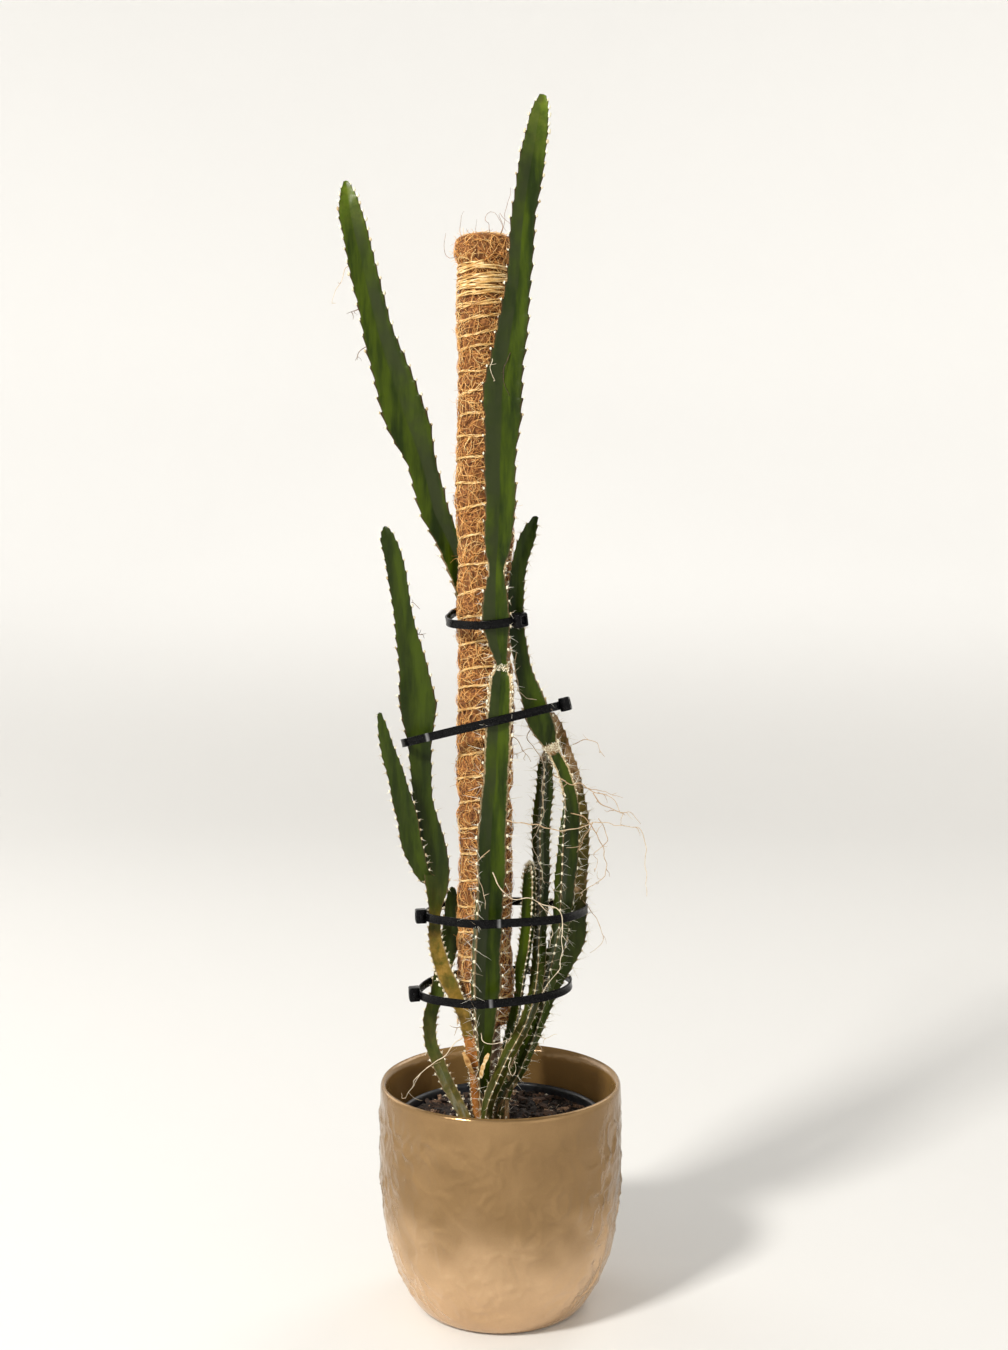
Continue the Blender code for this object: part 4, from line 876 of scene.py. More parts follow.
# %% Stems, row by row
FRINGE_SIZE = [(FOOT_TOP, 0.5)]
# The bloom pair of a part greys its front left and front right flank: a painted sheen over the waxy bloom.
STEMS = {
    "front": dict(
        slot="stem_green", finish=GREEN,
        areoles=[(109, 0.75), (430, 0.75), (460, 0.55), (610, 0.60), (682, 1.1)],
        spines=dict(count=4, thick=0.13, length=[
            (109, 3), (150, 9.5), (360, 8.0), (420, 4.0), (460, 2.0), (682, 1.4)]),
        parts=[dict(
            route=FRONT_STEM, roll=[(240, 40), (300, 0)], foot=25.0, short_back=0.78, seed=1,
            bloom=(0.9, 0.0), collars=(374.5,),
            spacing=[(109, 6.0), (300, 7.2), (370, 6.6), (430, 7.4), (470, 9.4), (600, 9.0), (640, 7.0),
                     (660, 4.8), (682, 3.6)],
            cork=[(109, 0.8), (122, 0.6), (150, 0.15), (370, 0.1), (374.5, 0.5), (378, 0.1), (426, 0.1),
                  (430, 0.32), (434, 0.1), (682, 0.0)],
            edge_cork=[(109, 0.5), (250, 0.2), (310, 0.35), (350, 0.6), (374, 1.0), (378, 0.2), (423, 0.1),
                       (430, 0.75), (438, 0.1), (520, 0.0), (682, 0.0)],
            yellow=[(109, 0.3), (130, 0.0), (645, 0.0), (672, 0.35), (682, 0.7)])]),
    "back": dict(
        slot="stem_green", finish=GREEN, areoles=[(109, 0.6), (450, 0.7), (520, 0.8), (650, 1.1)],
        spines=dict(count=3, thick=0.14, length=[(109, 3), (380, 4), (450, 3.0), (500, 1.8), (650, 1.1)]),
        parts=[dict(
            route=BACK_STEM, foot=25.0, short_back=0.85, seed=2, bloom=(0.0, 0.9),
            spacing=[(109, 7.0), (400, 7.6), (470, 9.0), (590, 8.8), (622, 6.0), (636, 4.4), (650, 3.6)],
            cork=[(109, 0.8), (125, 0.4), (150, 0.1), (436, 0.1), (441, 0.3), (446, 0.1), (650, 0.0)],
            edge_cork=[(109, 0.5), (380, 0.3), (441, 0.4), (452, 0.1), (500, 0.0), (650, 0.0)],
            yellow=[(109, 0.2), (130, 0.0), (615, 0.0), (638, 0.3), (650, 0.6)])]),
    "bow": dict(
        slot="stem_green", finish=OLD, areoles=[(109, 0.85), (240, 0.8)],
        spines=dict(count=3, thick=0.14, length=[(109, 2.0), (240, 2.6)]),
        parts=[dict(
            route=BOW_STEM, foot=15.0, short_back=0.85, seed=3, spacing=[(109, 4.4), (240, 5.0)],
            cork=[(109, 0.5), (118, 0.15), (240, 0.05)], edge_cork=[(109, 0.3), (240, 0.1)],
            yellow=[(109, 0.9), (122, 0.75), (145, 0.35), (170, 0.1), (240, 0.0)])]),
    "left": dict(
        slot="stem_yellowing", finish=YELLOWING,
        areoles=[(109, 0.75), (150, 0.9), (215, 0.85), (235, 0.65), (454, 0.8)],
        spines=dict(count=3, thick=0.15, length=[(109, 1.8), (230, 2.4), (300, 3.4), (400, 2.0), (454, 1.2)]),
        parts=[dict(
            route=LEFT_STEM, foot=60.0, short_back=0.85, seed=4, bloom=(0.25, 0.1),
            spacing=[(109, 3.2), (215, 3.6), (235, 5.5), (300, 7.4), (430, 6.6), (454, 4.0)],
            cork=[(109, 0.98), (140, 0.92), (158, 0.75), (168, 0.3), (215, 0.15), (300, 0.03), (454, 0.0)],
            edge_cork=[(109, 0.8), (160, 0.5), (225, 0.3), (260, 0.05), (454, 0.0)],
            yellow=[(109, 0.9), (150, 0.95), (200, 0.9), (214, 0.75), (224, 0.4), (238, 0.08), (260, 0.0),
                    (454, 0.0)],
        ), dict(
            route=LEFT_BRANCH, seed=5, bloom=(0.3, 0.1),
            spacing=[(249, 5.2), (347, 5.6)], cork=[(249, 0.1), (347, 0.0)],
            edge_cork=[(249, 0.1), (347, 0.0)], yellow=[(249, 0.0), (347, 0.0)])]),
    "right": dict(
        slot="stem_old", finish=OLD, areoles=[(109, 0.65), (200, 0.66), (320, 0.68), (459, 0.6)],
        spines=dict(count=4, thick=0.10, length=[(109, 3.5), (170, 7.0), (350, 7.5), (400, 5.0), (459, 4.5)]),
        parts=[dict(
            route=RIGHT_STEM, roll=[(180, 62), (257, 47), (303, 33), (318, 25), (345, 0)], foot=20.0,
            seed=6, bloom=(0.1, 0.0), collars=(328.0,),
            spacing=[(109, 4.6), (200, 5.4), (320, 5.2), (459, 5.6)],
            cork=[(109, 0.65), (150, 0.3), (200, 0.12), (319, 0.12), (325, 0.6), (328, 0.75), (331, 0.3),
                  (336, 0.1), (459, 0.05)],
            edge_cork=[(109, 0.6), (150, 0.25), (290, 0.15), (306, 0.8), (328, 1.0), (334, 0.3), (459, 0.1)],
            yellow=[(109, 0.25), (130, 0.05), (459, 0.0)],
        ), dict(
            route=RIGHT_BRANCH, roll=[(0, 8)], seed=7,
            spacing=[(162, 5.2), (346, 4.8)],
            cork=[(162, 0.1), (232, 0.15), (243, 0.5), (254, 0.35), (292, 0.36), (312, 0.55), (346, 0.68)],
            edge_cork=[(162, 0.1), (235, 0.2), (290, 0.35), (346, 0.4)],
            yellow=[(162, 0.0), (230, 0.1), (243, 0.8), (262, 0.7), (290, 0.85), (346, 0.95)])]),
    "right_inner": dict(
        slot="stem_old", finish=OLD, areoles=[(109, 0.62), (200, 0.66), (324, 0.75)],
        spines=dict(count=5, thick=0.10, length=[(109, 2.2), (180, 3.0), (215, 5.0), (324, 6.5)]),
        parts=[dict(
            route=INNER_STEM, roll=[(0, 57)], foot=20.0, seed=8, bloom=(0.1, 0.1),
            spacing=[(109, 4.8), (200, 5.2), (324, 4.2)],
            cork=[(109, 0.6), (130, 0.3), (200, 0.12), (300, 0.15), (316, 0.45), (324, 0.7)],
            edge_cork=[(109, 0.55), (180, 0.58), (206, 0.5), (222, 0.2), (324, 0.3)],
            yellow=[(109, 0.3), (160, 0.25), (210, 0.05), (324, 0.0)])]),
    "right_small": dict(
        slot="stem_green", finish=GREEN, areoles=[(109, 0.6), (200, 0.7), (262, 0.8)],
        spines=dict(count=3, thick=0.10, length=[(109, 2.5), (200, 2.6), (262, 3.2)]),
        parts=[dict(
            route=SMALL_STEM, roll=[(0, 76)], foot=30.0, seed=9,
            spacing=[(109, 5.0), (190, 4.6), (215, 3.2), (262, 2.8)],
            cork=[(109, 0.7), (140, 0.3), (180, 0.2), (186, 0.55), (192, 0.1), (245, 0.15), (262, 0.6)],
            edge_cork=[(109, 0.55), (180, 0.3), (215, 0.4), (250, 0.5), (262, 0.9)],
            yellow=[(109, 0.1), (262, 0.0)])]),
}


def dress_stem(name, row):
    """The skin, the areoles and the spines of one stem, as three pieces."""
    grown = [grow_stem(**part) for part in row["parts"]]
    add_piece(name + "_skin", [g[:3] for g in grown], row["finish"], row["slot"], ("stem_" + name,))
    areoles = np.concatenate([g[3] for g in grown])
    draw = np.random.default_rng(len(name) + 20)
    fringe = np.repeat(np.concatenate([g[4] for g in grown]), 2, axis=0)
    fringe[:, :3] += draw.normal(0, 0.4, (len(fringe), 3))
    cushions = areole_cushions(areoles, row["areoles"], AREOLE_BALL, draw)
    woolly_fringe = areole_cushions(fringe, FRINGE_SIZE, FRINGE_BALL, draw)
    add_piece(name + "_areoles", [cushions, woolly_fringe], WOOL, row["slot"])
    add_piece(name + "_spines", [spine_fans(areoles, draw=draw, **row["spines"])], SPINE, row["slot"])
    return areoles


areole_places = {name: dress_stem(name, row) for name, row in STEMS.items()}
print("areoles:", sum(len(places) for places in areole_places.values()))

# %% [markdown]
# ### Aerial roots
# The stems put out pale roots that hang and curl in the air. Each main root follows listed stations.
# Thin side roots leave it in seeded random directions and wander as they grow.

# %% Main roots and side roots
THICK_ROOT = 0.32
THIN_ROOT = 0.25
ROOTS = {
    "front": [
        (THICK_ROOT, 0.6, [
            (-3, -27, 291), (6.5, -31, 288.5), (18.5, -29, 287), (31, -27, 283.5), (43.5, -25, 283.5),
            (53, -22, 286.5), (68, -18, 284), (80, -15, 281), (83, -14, 270), (83, -14.5, 256),
            (83.5, -16, 243)]),
        (THICK_ROOT, 0.8, [
            (-5.5, -28, 262), (-1, -34, 253), (6.5, -32, 246), (16, -27, 244), (21.5, -25, 241),
            (28, -27, 239.5), (33.5, -29, 237), (35, -30.5, 230), (34.5, -30.5, 211.5), (33, -30.5, 203.5),
            (27, -30, 196), (23, -29, 191)]),
        (THIN_ROOT, 0.8, [(21.5, -25, 241), (27.5, -27.5, 235.5), (29, -28.5, 228), (28, -30, 217.5)]),
        (THIN_ROOT, 0.6, [
            (-6, -33.5, 273), (-12.5, -35, 267), (-13, -35.5, 264), (-9.5, -36, 249.5), (-8.5, -37, 240.5)]),
        (THIN_ROOT, 0.9, [(-4, -36.5, 548), (-4.5, -37.5, 544.5), (-5, -38, 539), (-3, -38.5, 533)]),
        (THIN_ROOT, 0.0, [
            (5.5, -36.5, 547.5), (3.5, -37.3, 542.5), (1, -36.8, 533.5), (2.5, -36.3, 529.5),
            (4.5, -36.3, 526), (5.5, -35.8, 519.5), (8, -35.3, 512.5)]),
        (THIN_ROOT, 1.0, [(-11, -31, 168), (-9.5, -32.5, 164), (-2, -33.5, 162), (6, -35, 167)]),
        (THIN_ROOT, 0.7, [(2.5, -24, 326), (9, -19, 325.5), (17.5, -14, 328), (23, -9, 326.5)]),
        (THIN_ROOT, 0.5, [(5.5, -24, 336.5), (11, -19, 331.5), (17, -14, 320)])],
    "back": [
        (THIN_ROOT, 0.7, [(-82, 12, 606), (-88, 11, 602), (-91.5, 10.5, 594), (-97, 10, 581)]),
        (THIN_ROOT, 0.1, [(-76.5, 9.5, 557), (-81, 10, 554), (-84, 10, 548.5)]),
        (THIN_ROOT, 0.1, [(-81, 9.5, 578), (-85, 10, 577), (-88, 10, 575.5)])],
    "left": [
        (THICK_ROOT, 0.8, [
            (-18, -16.5, 164), (-25.5, -19, 159), (-32, -21, 152), (-42, -22, 145.5), (-49, -20, 137),
            (-55, -15, 124)]),
        (THIN_ROOT, 0.4, [(-22, -15, 166.5), (-26, -16.5, 166.5), (-29, -18, 168)]),
        (THIN_ROOT, 0.1, [(-51, 0, 410.5), (-48.5, -1, 409.5), (-46, -2, 407)]),
        (THIN_ROOT, 0.1, [(-48, -0.5, 393), (-45.5, -1, 392), (-42.5, -2, 392)])],
    "right": [
        (THICK_ROOT, 0.5, [
            (30, -12.5, 312.5), (35.5, -15.5, 309.5), (40, -17.5, 308), (45.5, -18, 308), (52.5, -18.5, 304),
            (60, -19.5, 301.5), (65.5, -21, 297.5), (67.5, -22, 291.5)]),
        (THICK_ROOT, 0.5, [
            (52.5, -18, 303), (56, -17.5, 298), (62, -17, 294.5), (67.5, -16.5, 292), (72.5, -16, 292),
            (77, -15.5, 289), (80, -15, 284.5)]),
        (THIN_ROOT, 0.5, [(42, 4, 328), (49.5, 0, 331), (55, -3, 330.5), (57, -6, 325.5), (60, -9, 322)]),
        (THIN_ROOT, 0.4, [(44, 3, 302.5), (54, -5.5, 303), (70, -12, 299.5)]),
        (THIN_ROOT, 0.5, [
            (55.5, -19, 288.5), (58.5, -18, 284), (60.5, -17, 277.5), (59.5, -16, 272.5), (53, -15, 267.5),
            (55.5, -14, 263.5), (54, -13, 256.5)]),
        (THICK_ROOT, 0.5, [
            (40, -16, 291), (47, -19.5, 289.5), (52.5, -19, 282.5), (56.5, -17.5, 275.5),
            (59.5, -15.5, 267.5), (60, -13.5, 254.5), (53, -12, 249), (45.5, -10, 242.5)]),
        (THIN_ROOT, 0.5, [(52.5, -20, 286.5), (47, -19.5, 277), (45, -18.5, 272), (36.5, -18, 271.5)]),
        (THIN_ROOT, 0.5, [(48, 4, 236.5), (55.5, 0, 227), (60, -4, 216), (51.5, -8, 208)]),
        (THIN_ROOT, 0.7, [
            (17, -9.5, 338), (15, -9.5, 333.5), (18.5, -9.5, 328.5), (23.5, -9.5, 321.5), (25, -9.5, 313.5),
            (23.5, -9.5, 304), (25, -9.5, 294.5), (22.5, -10, 283), (18.5, -10.5, 275.5), (19, -10.5, 268.5),
            (22, -11, 263), (23.5, -12, 256.5), (25, -12, 249.5)]),
        (THIN_ROOT, 0.6, [
            (9, -17.5, 383), (8, -18, 375.5), (9, -17.5, 366.5), (9.5, -17.5, 361.5), (12.5, -18, 358),
            (20, -19.5, 356)]),
        (THIN_ROOT, 0.9, [(20.5, -14, 161.5), (26.5, -16, 161), (33, -18, 163.5)])],
    "right_inner": [
        (THIN_ROOT, 0.9, [
            (6, -28, 153), (5, -30, 148.5), (6.5, -30.5, 143), (9, -31, 146.5), (7, -32, 151.5)])],
}
ROOT_STEP = 1.6
SIDE_ROOT_RADIUS = 0.22


def root_tube(route, radius, tint, seed):
    """A root: a tube along its stations that wanders a little, thins and pales to its free end."""
    line = smooth_line(route, ROOT_STEP)
    share = np.linspace(0, 1, len(line))
    wander = np.stack([waves(line, 9, seed + i) for i in range(3)], axis=1)
    line = line + wander * (0.5 * np.minimum(1, share * 5))[:, None]
    radii = radius * (1 - 0.55 * share) * (1 + 0.14 * waves(line, 4, seed + 5))
    points, faces = tubes(line[None], radii[None], 6)
    return points, faces, {"tint": tint * (1 + 0.3 * np.repeat(share, 6))}, line


def side_roots(line, count, reach, tint, draw):
    """Thin roots that leave a root at random places and wander as they grow."""
    steps = 12
    start = line[draw.integers(len(line) // 6, len(line), count)]
    heading = unit(draw.normal(size=(count, 3)) * (1, 1, 0.8) + (0.3, -0.1, -0.5))
    paths = wanderers(start, heading, reach * draw.uniform(0.35, 1.0, count), steps, 0.3, draw)
    radii = SIDE_ROOT_RADIUS * np.linspace(1, 0.35, steps + 1)[None] * draw.uniform(0.6, 1.1, (count, 1))
    return tinted_tubes(paths, radii, 4, tint * draw.uniform(0.7, 1.4, count))


for stem_name, rows in ROOTS.items():
    root_draw = np.random.default_rng(len(stem_name) + 60)
    chunks = []
    for number, (radius, tint, route) in enumerate(rows):
        *root, root_line = root_tube(route, radius, tint, 70 + number)
        thick = radius == THICK_ROOT
        chunks.append(root)
        chunks.append(side_roots(root_line, 5 if thick else 2, 14 if thick else 6, tint, root_draw))
    add_piece(stem_name + "_roots", chunks, ROOT, STEMS[stem_name]["slot"], ("stem_" + stem_name,))

# %% [markdown]
# ### Wool and dry husks
# The old tops on the right are woolly: short curled hairs start all over a small ball and wander off.
# At the foot two dry scales still cling to the stems. Each is a thin flat tube that curls as it rises.

# %% Woolly tops
WOOLLY_TOPS = {
    "right_inner": [((26, -1.5, 321), (3.2, 3.2, 3.0), 90, 4.0)],
    "right_small": [((17, -13.3, 260), (2.8, 2.8, 3.0), 80, 2.4)],
    "right": [((29.5, -11.5, 328), (4.0, 3.6, 2.2), 110, 3.0)],
}
WOOL_RADIUS = 0.09


def wool_tuft(middle, spread, count, reach, draw):
    """Curled hairs that start on the shell of a stretched ball and wander outwards."""
    out = unit(draw.normal(size=(count, 3)))
    start = np.array(middle) + out * spread * draw.uniform(0.75, 1.0, (count, 1))
    heading = unit(out + draw.normal(0, 0.6, (count, 3)))
    paths = wanderers(start, heading, reach * draw.uniform(0.5, 1.1, count), 6, 0.7, draw)
    radii = WOOL_RADIUS * draw.uniform(0.7, 1.2, (count, 1))
    return tinted_tubes(paths, radii, 3, draw.uniform(0.2, 1, count))


for stem_name, tufts in WOOLLY_TOPS.items():
    wool_draw = np.random.default_rng(len(stem_name) + 80)
    tuft_chunks = [wool_tuft(*tuft, wool_draw) for tuft in tufts]
    add_piece(stem_name + "_wool", tuft_chunks, WOOL, STEMS[stem_name]["slot"])

# %% Dry husks at the foot
HUSKS = {
    "left_husk": (0.25, 1.25, [
        (-15, -19, 140.5), (-17.5, -20.5, 145), (-19.2, -21.5, 149.6), (-21.2, -21.5, 154)]),
    "front_husk": (0.55, 1.0, [
        (-11.2, -28.5, 141), (-10.2, -30, 147), (-8.4, -31.5, 152.5), (-6.6, -33, 156.8)]),
}
HUSK_COLUMNS = 14
HUSK_THIN = 0.22


def husk(tint, half_wide, route, seed):
    """A flat tube whose middle bends away like a gutter, widest at a third of its length."""
    line = smooth_line(route, 0.8)
    share = np.linspace(0, 1, len(line))[:, None]
    along = unit(np.gradient(line, axis=0))
    across = unit(np.cross(along, (0.3, 1, 0)))
    out = np.cross(along, across)
    turn = np.arange(HUSK_COLUMNS)[None] * (2 * np.pi / HUSK_COLUMNS)
    wide = half_wide * (0.45 + 0.75 * np.sin(np.pi * (share * 0.75 + 0.12))) * np.cos(turn)
    deep = HUSK_THIN * np.sin(turn) + 0.16 * wide ** 2
    ragged = 1 + 0.16 * waves(line, 2.5, seed)[:, None, None]
    rings = line[:, None] + (across[:, None] * wide[..., None] + out[:, None] * deep[..., None]) * ragged
    points, faces = capped_grid(rings)
    return points, faces, {"tint": tint + 0.25 * waves(points, 3, seed + 1)}


HUSK = tinted_finish("dry_husk", [
    (0.0, (0.30, 0.13, 0.03)), (0.4, (0.62, 0.36, 0.12)), (1.0, (0.90, 0.76, 0.50))], 0.7, 1.4)
for number, (husk_name, husk_values) in enumerate(HUSKS.items()):
    add_piece(husk_name, [husk(*husk_values, 101 + number)], HUSK, "stem_yellowing")

# %% [markdown]
# ## Soil
# Damp potting soil, a little below the nursery pot's rim. The block is a turned grid whose top is
# raised and lowered by noise. On it lie bark chips, crumbs and a few white grains. Each is a copy of
# one ball, made lumpy, flattened and turned at random from a fixed seed.

# %% Soil block
SOIL_BOTTOM = 9.3
SOIL_LEVEL = 105.0
SOIL_MOUND = 2.5
SOIL_GAP = 1.6
SOIL_RADIUS = nursery_radius(SOIL_LEVEL) - SOIL_GAP
SOIL_ROWS = 62
SOIL_COLUMNS = 190
POLE_X = -9.0
CLEAR_OF_FEET = 5.5
CLEAR_OF_STAKE = 10.5
FEET = np.array([route[0][:2] for route in
                 (FRONT_STEM, BACK_STEM, BOW_STEM, LEFT_STEM, RIGHT_STEM, INNER_STEM, SMALL_STEM)])


def soil_height(x, y):
    """Height of the soil's surface: a low mound, larger lumps and small crumbs."""
    reach = np.hypot(x, y) / SOIL_RADIUS
    flat = np.stack([x, y, np.zeros_like(x)], axis=-1)
    lumps = 1.0 * waves(flat, 14, 31) + 0.7 * waves(flat, 6, 32) + 0.4 * waves(flat, 2.6, 33)
    return SOIL_LEVEL + SOIL_MOUND * (1 - reach ** 2) + lumps * (1 - 0.6 * fade_in(reach, 0.85, 1))


soil_profile = [(r, SOIL_LEVEL) for r in np.linspace(0.7, SOIL_RADIUS, SOIL_ROWS)]
side_profile = [(nursery_radius(z) - SOIL_GAP, z) for z in np.linspace(101, SOIL_BOTTOM, 12)]
soil_rings = turn_round(soil_profile + side_profile, SOIL_COLUMNS)
soil_top = soil_rings[:SOIL_ROWS]
soil_top[..., 2] = soil_height(soil_top[..., 0], soil_top[..., 1])
soil_points, soil_faces = capped_grid(soil_rings, (0, 0, SOIL_LEVEL + SOIL_MOUND), (0, 0, SOIL_BOTTOM))
soil_faces = [faces[:, ::-1] for faces in soil_faces]


# %% Bark chips, crumbs and white grains
def random_axes(count, draw, tip):
    """Three square axes for each item; tip is how far an item leans out of the level."""
    up = unit(draw.normal(0, tip, (count, 3)) + (0, 0, 1))
    first = unit(np.cross(up, draw.normal(size=(count, 3))))
    return np.stack([first, np.cross(up, first), up], axis=1)


def on_soil(count, draw):
    """Seeded places on the soil, clear of the stems' feet and the stake."""
    places = np.empty((0, 2))
    while len(places) < count:
        radius = SOIL_RADIUS * np.sqrt(draw.uniform(0, 0.97, count))
        angle = draw.uniform(0, 2 * np.pi, count)
        new = np.stack([radius * np.cos(angle), radius * np.sin(angle)], axis=1)
        clear = np.linalg.norm(new[:, None] - FEET[None], axis=2).min(axis=1) > CLEAR_OF_FEET
        clear &= np.hypot(new[:, 0] - POLE_X, new[:, 1]) > CLEAR_OF_STAKE
        places = np.concatenate([places, new[clear]])
    places = places[:count]
    return np.column_stack([places, soil_height(places[:, 0], places[:, 1])])


def soil_bits(count, size, tint, lumpy, lift, shape, seed):
    """Lumpy bits on the soil: size gives (length, width, thickness) ranges, tint the colour range."""
    draw = np.random.default_rng(seed)
    centres = on_soil(count, draw)
    stretch = np.stack([draw.uniform(low, high, count) for low, high in size], axis=1)
    axes = random_axes(count, draw, 0.35) * stretch[:, :, None]
    centres[:, 2] += stretch[:, 2] * lift
    return scatter(shape, centres, axes, lumpy, tint, draw)


def soil_threads(count, seed):
    """Fine pale roots that lie on the soil: a wandering path, laid just above the surface."""
    draw = np.random.default_rng(seed)
    heading = unit(draw.normal(size=(count, 3)) * (1, 1, 0))
    paths = wanderers(on_soil(count, draw), heading, draw.uniform(5, 14, count), 12, 0.35, draw)
    ripple = 0.5 * np.sin(np.linspace(0, 9, paths.shape[1]))
    paths[..., 2] = soil_height(paths[..., 0], paths[..., 1]) + 0.6 + ripple
    inside = np.hypot(paths[..., 0], paths[..., 1]).max(axis=1) < SOIL_RADIUS
    return tinted_tubes(paths[inside], 0.17, 4, draw.uniform(0.3, 0.9, inside.sum()))


DAMP_SOIL, _ = grained_finish("damp_soil", 0.9, (1.8, 5, 0.7), [
    (0.3, (0.006, 0.004, 0.003)), (0.5, (0.018, 0.011, 0.007)), (0.72, (0.070, 0.042, 0.025))], 0.9)
BARK = tinted_finish("bark_chips", [
    (0.0, (0.006, 0.004, 0.003)), (0.5, (0.022, 0.012, 0.007)), (0.85, (0.085, 0.042, 0.022)),
    (1.0, (0.34, 0.20, 0.11))], 0.8, 1.6)
GRAIN = tinted_finish("white_grains", [(0.0, (0.45, 0.32, 0.20)), (1.0, (0.84, 0.78, 0.68))], 0.85, 0.8)
add_piece("soil_block", [(soil_points, soil_faces, {})], DAMP_SOIL, "soil", ("soil",))
chip_ball, crumb_ball = unit_ball(3, 6), unit_ball(2, 5)
add_piece("soil_bark", [
    soil_bits(330, ((2.0, 5.6), (1.2, 3.0), (0.5, 1.6)), (0.1, 1.0), 0.4, 0.3, chip_ball, 34),
    soil_bits(1700, ((0.5, 1.5), (0.5, 1.2), (0.4, 1.0)), (0.0, 0.8), 0.3, 0.4, crumb_ball, 35),
], BARK, "soil", smooth=False)
add_piece("soil_grains", [
    soil_bits(60, ((0.5, 1.7), (0.5, 1.3), (0.4, 0.9)), (0.2, 1.0), 0.4, 0.6, chip_ball, 36)], GRAIN, "soil")
add_piece("soil_threads", [soil_threads(46, 37)], ROOT, "soil")

# %% [markdown]
# ## The climbing pole
# Inside is a round wooden stake. Round it sits a thick sleeve of coir, the brown fibre of coconut
# husk, bound with straw-coloured twine. The twine winds up in open turns that bite into the coir, and
# ends in six tight turns under a fluffy crown. The height of each turn on the pole's front is a given
# list. The sleeve, the fibres and the twine all read it, so the coir bulges between turns.

# %% Stake
stake_profile = [(2, 22), (5.5, 30)] + [(9, z) for z in np.linspace(38, 598.5, 40)] + [(8.2, 600)]
stake_rings = turn_round(stake_profile, 48, (POLE_X, 0))
grain_relief = 0.012 * waves(stake_rings * (1, 1, 0.1), 5, 41)
stake_rings[..., :2] += (stake_rings[..., :2] - (POLE_X, 0)) * grain_relief[..., None]
stake_points, stake_faces = capped_grid(stake_rings, (POLE_X, 0, 22), (POLE_X, 0, 600))
stake_finish, _ = grained_finish("stake_wood", 0.75, (3, 5, 0.65), [
    (0.3, (0.10, 0.055, 0.028)), (0.55, (0.22, 0.13, 0.07)), (0.8, (0.36, 0.24, 0.14))], 0.5, (1, 1, 0.06))
add_piece("stake_wood", [(stake_points, stake_faces, {})], stake_finish, "stake", ("pole_stake",))

# %% The twine's turns and the sleeve's surface
TWINE_AT_FRONT = np.array([
    171, 181, 195, 209, 223, 238, 253, 268, 283, 298, 312, 326, 339, 351, 363, 374.4, 389, 403.3, 419,
    433.7, 450, 466.7, 479.5, 493.4, 505, 518, 530.6, 541.6, 554, 562, 570.8, 579, 583.5, 586.7, 590,
    593.3, 596.6, 600])
TURN_NUMBERS = np.arange(len(TWINE_AT_FRONT))
COIR_BOTTOM = 166.0
COIR_TOP = 617.0
CROWN_MIDDLE = 604.0
CROWN_REACH = 16.6
CROWN_SHELL = 14.5
SLEEVE_REACH = 15.6
GROOVE_DEPTH = 1.15
GROOVE_WIDTH = 2.1


def sleeve_radius(around, height):
    """Radius of the coir: slim under the tight turns, wide at the crown, grooved along the twine.

    The groove is a bell curve of the height above or below the nearest turn. around is the angle
    from the pole's front towards its right, in radians.
    """
    base = 15.8 + 0.5 * np.sin(height / 23) + 0.35 * np.sin(height / 9)
    base = base - 1.9 * np.exp(-((height - 298) / 6) ** 2)
    base = base + 0.45 * np.sin(height / 14 + 1.7 * np.sin(around)) * (1 - fade_in(height, 560, 580))
    base = base - 1.2 * fade_in(height, 576, 586) + 2.0 * fade_in(height, 601, 606)
    turn = np.interp(height, TWINE_AT_FRONT, TURN_NUMBERS) - around / (2 * np.pi)
    pitch = np.interp(height, TWINE_AT_FRONT, np.gradient(TWINE_AT_FRONT))
    away = (turn - np.round(turn)) * pitch
    inside = (height > TWINE_AT_FRONT[0] - 3) & (height < TWINE_AT_FRONT[-1] + 2)
    shallow = 1 - 0.7 * fade_in(height, 578, 586)
    groove = GROOVE_DEPTH * np.exp(-(away / GROOVE_WIDTH) ** 2) * inside * shallow
    return base - groove


def on_pole(around, height, radius):
    """Points at an angle from the pole's front, a height and a distance from its axis."""
    return np.stack([POLE_X + radius * np.sin(around), -radius * np.cos(around),
                     np.broadcast_to(height, np.shape(radius))], axis=-1)


# %% Coir: the dense core
CORE_COLUMNS = 96
core_heights = np.concatenate([np.arange(COIR_BOTTOM, 607, 2.3), [609, 611, 613, 614.6, 615.8, 616.6, 617]])
core_shrink = np.interp(core_heights, [166, 168, 611, 614.6, 616.2, 617], [0.84, 0.97, 0.97, 0.95, 0.86, 0.6])
core_around = np.arange(CORE_COLUMNS) * (2 * np.pi / CORE_COLUMNS)
core_radius = sleeve_radius(core_around[None, :], core_heights[:, None]) * core_shrink[:, None] - 0.25
core_rings = on_pole(core_around[None, :], core_heights[:, None], core_radius)
rough = 0.32 * waves(core_rings, 2.6, 42) + 0.30 * waves(core_rings, 6.5, 43)
core_rings = on_pole(core_around[None, :], core_heights[:, None], core_radius + rough)
core_points, core_faces = capped_grid(core_rings, (POLE_X, 0, COIR_BOTTOM), (POLE_X, 0, 617.2))


def coir_core():
    """Matted fibre seen between the loose ones: brown with short crossing streaks, its darkest tones painted
    shade in the gaps.
    """
    finish = new_finish("coir_core", 0.95)
    one = noise(finish, 1.3, 4, 0.7, place(finish, (1.0, 1.0, 0.35)))
    two = noise(finish, 1.3, 4, 0.7, place(finish, (0.35, 0.35, 1.0)))
    streaks = reckon(finish, "MAXIMUM", one, two)
    # Painted shade: the darkest stops of this ramp stand for the shade in the gaps under the loose fibres;
    # the lighter ones are the coir's own brown.
    colour = ramp(finish, streaks, (0.42, (0.060, 0.018, 0.005)), (0.58, (0.28, 0.105, 0.026)),
                  (0.74, (0.68, 0.35, 0.11)))
    to_shader(finish, "Base Color", colour)
    bump(finish, streaks, 1.2)
    return finish


add_piece("coir_core", [(core_points, core_faces, {})], coir_core(), "coir", ("coir_sleeve",))


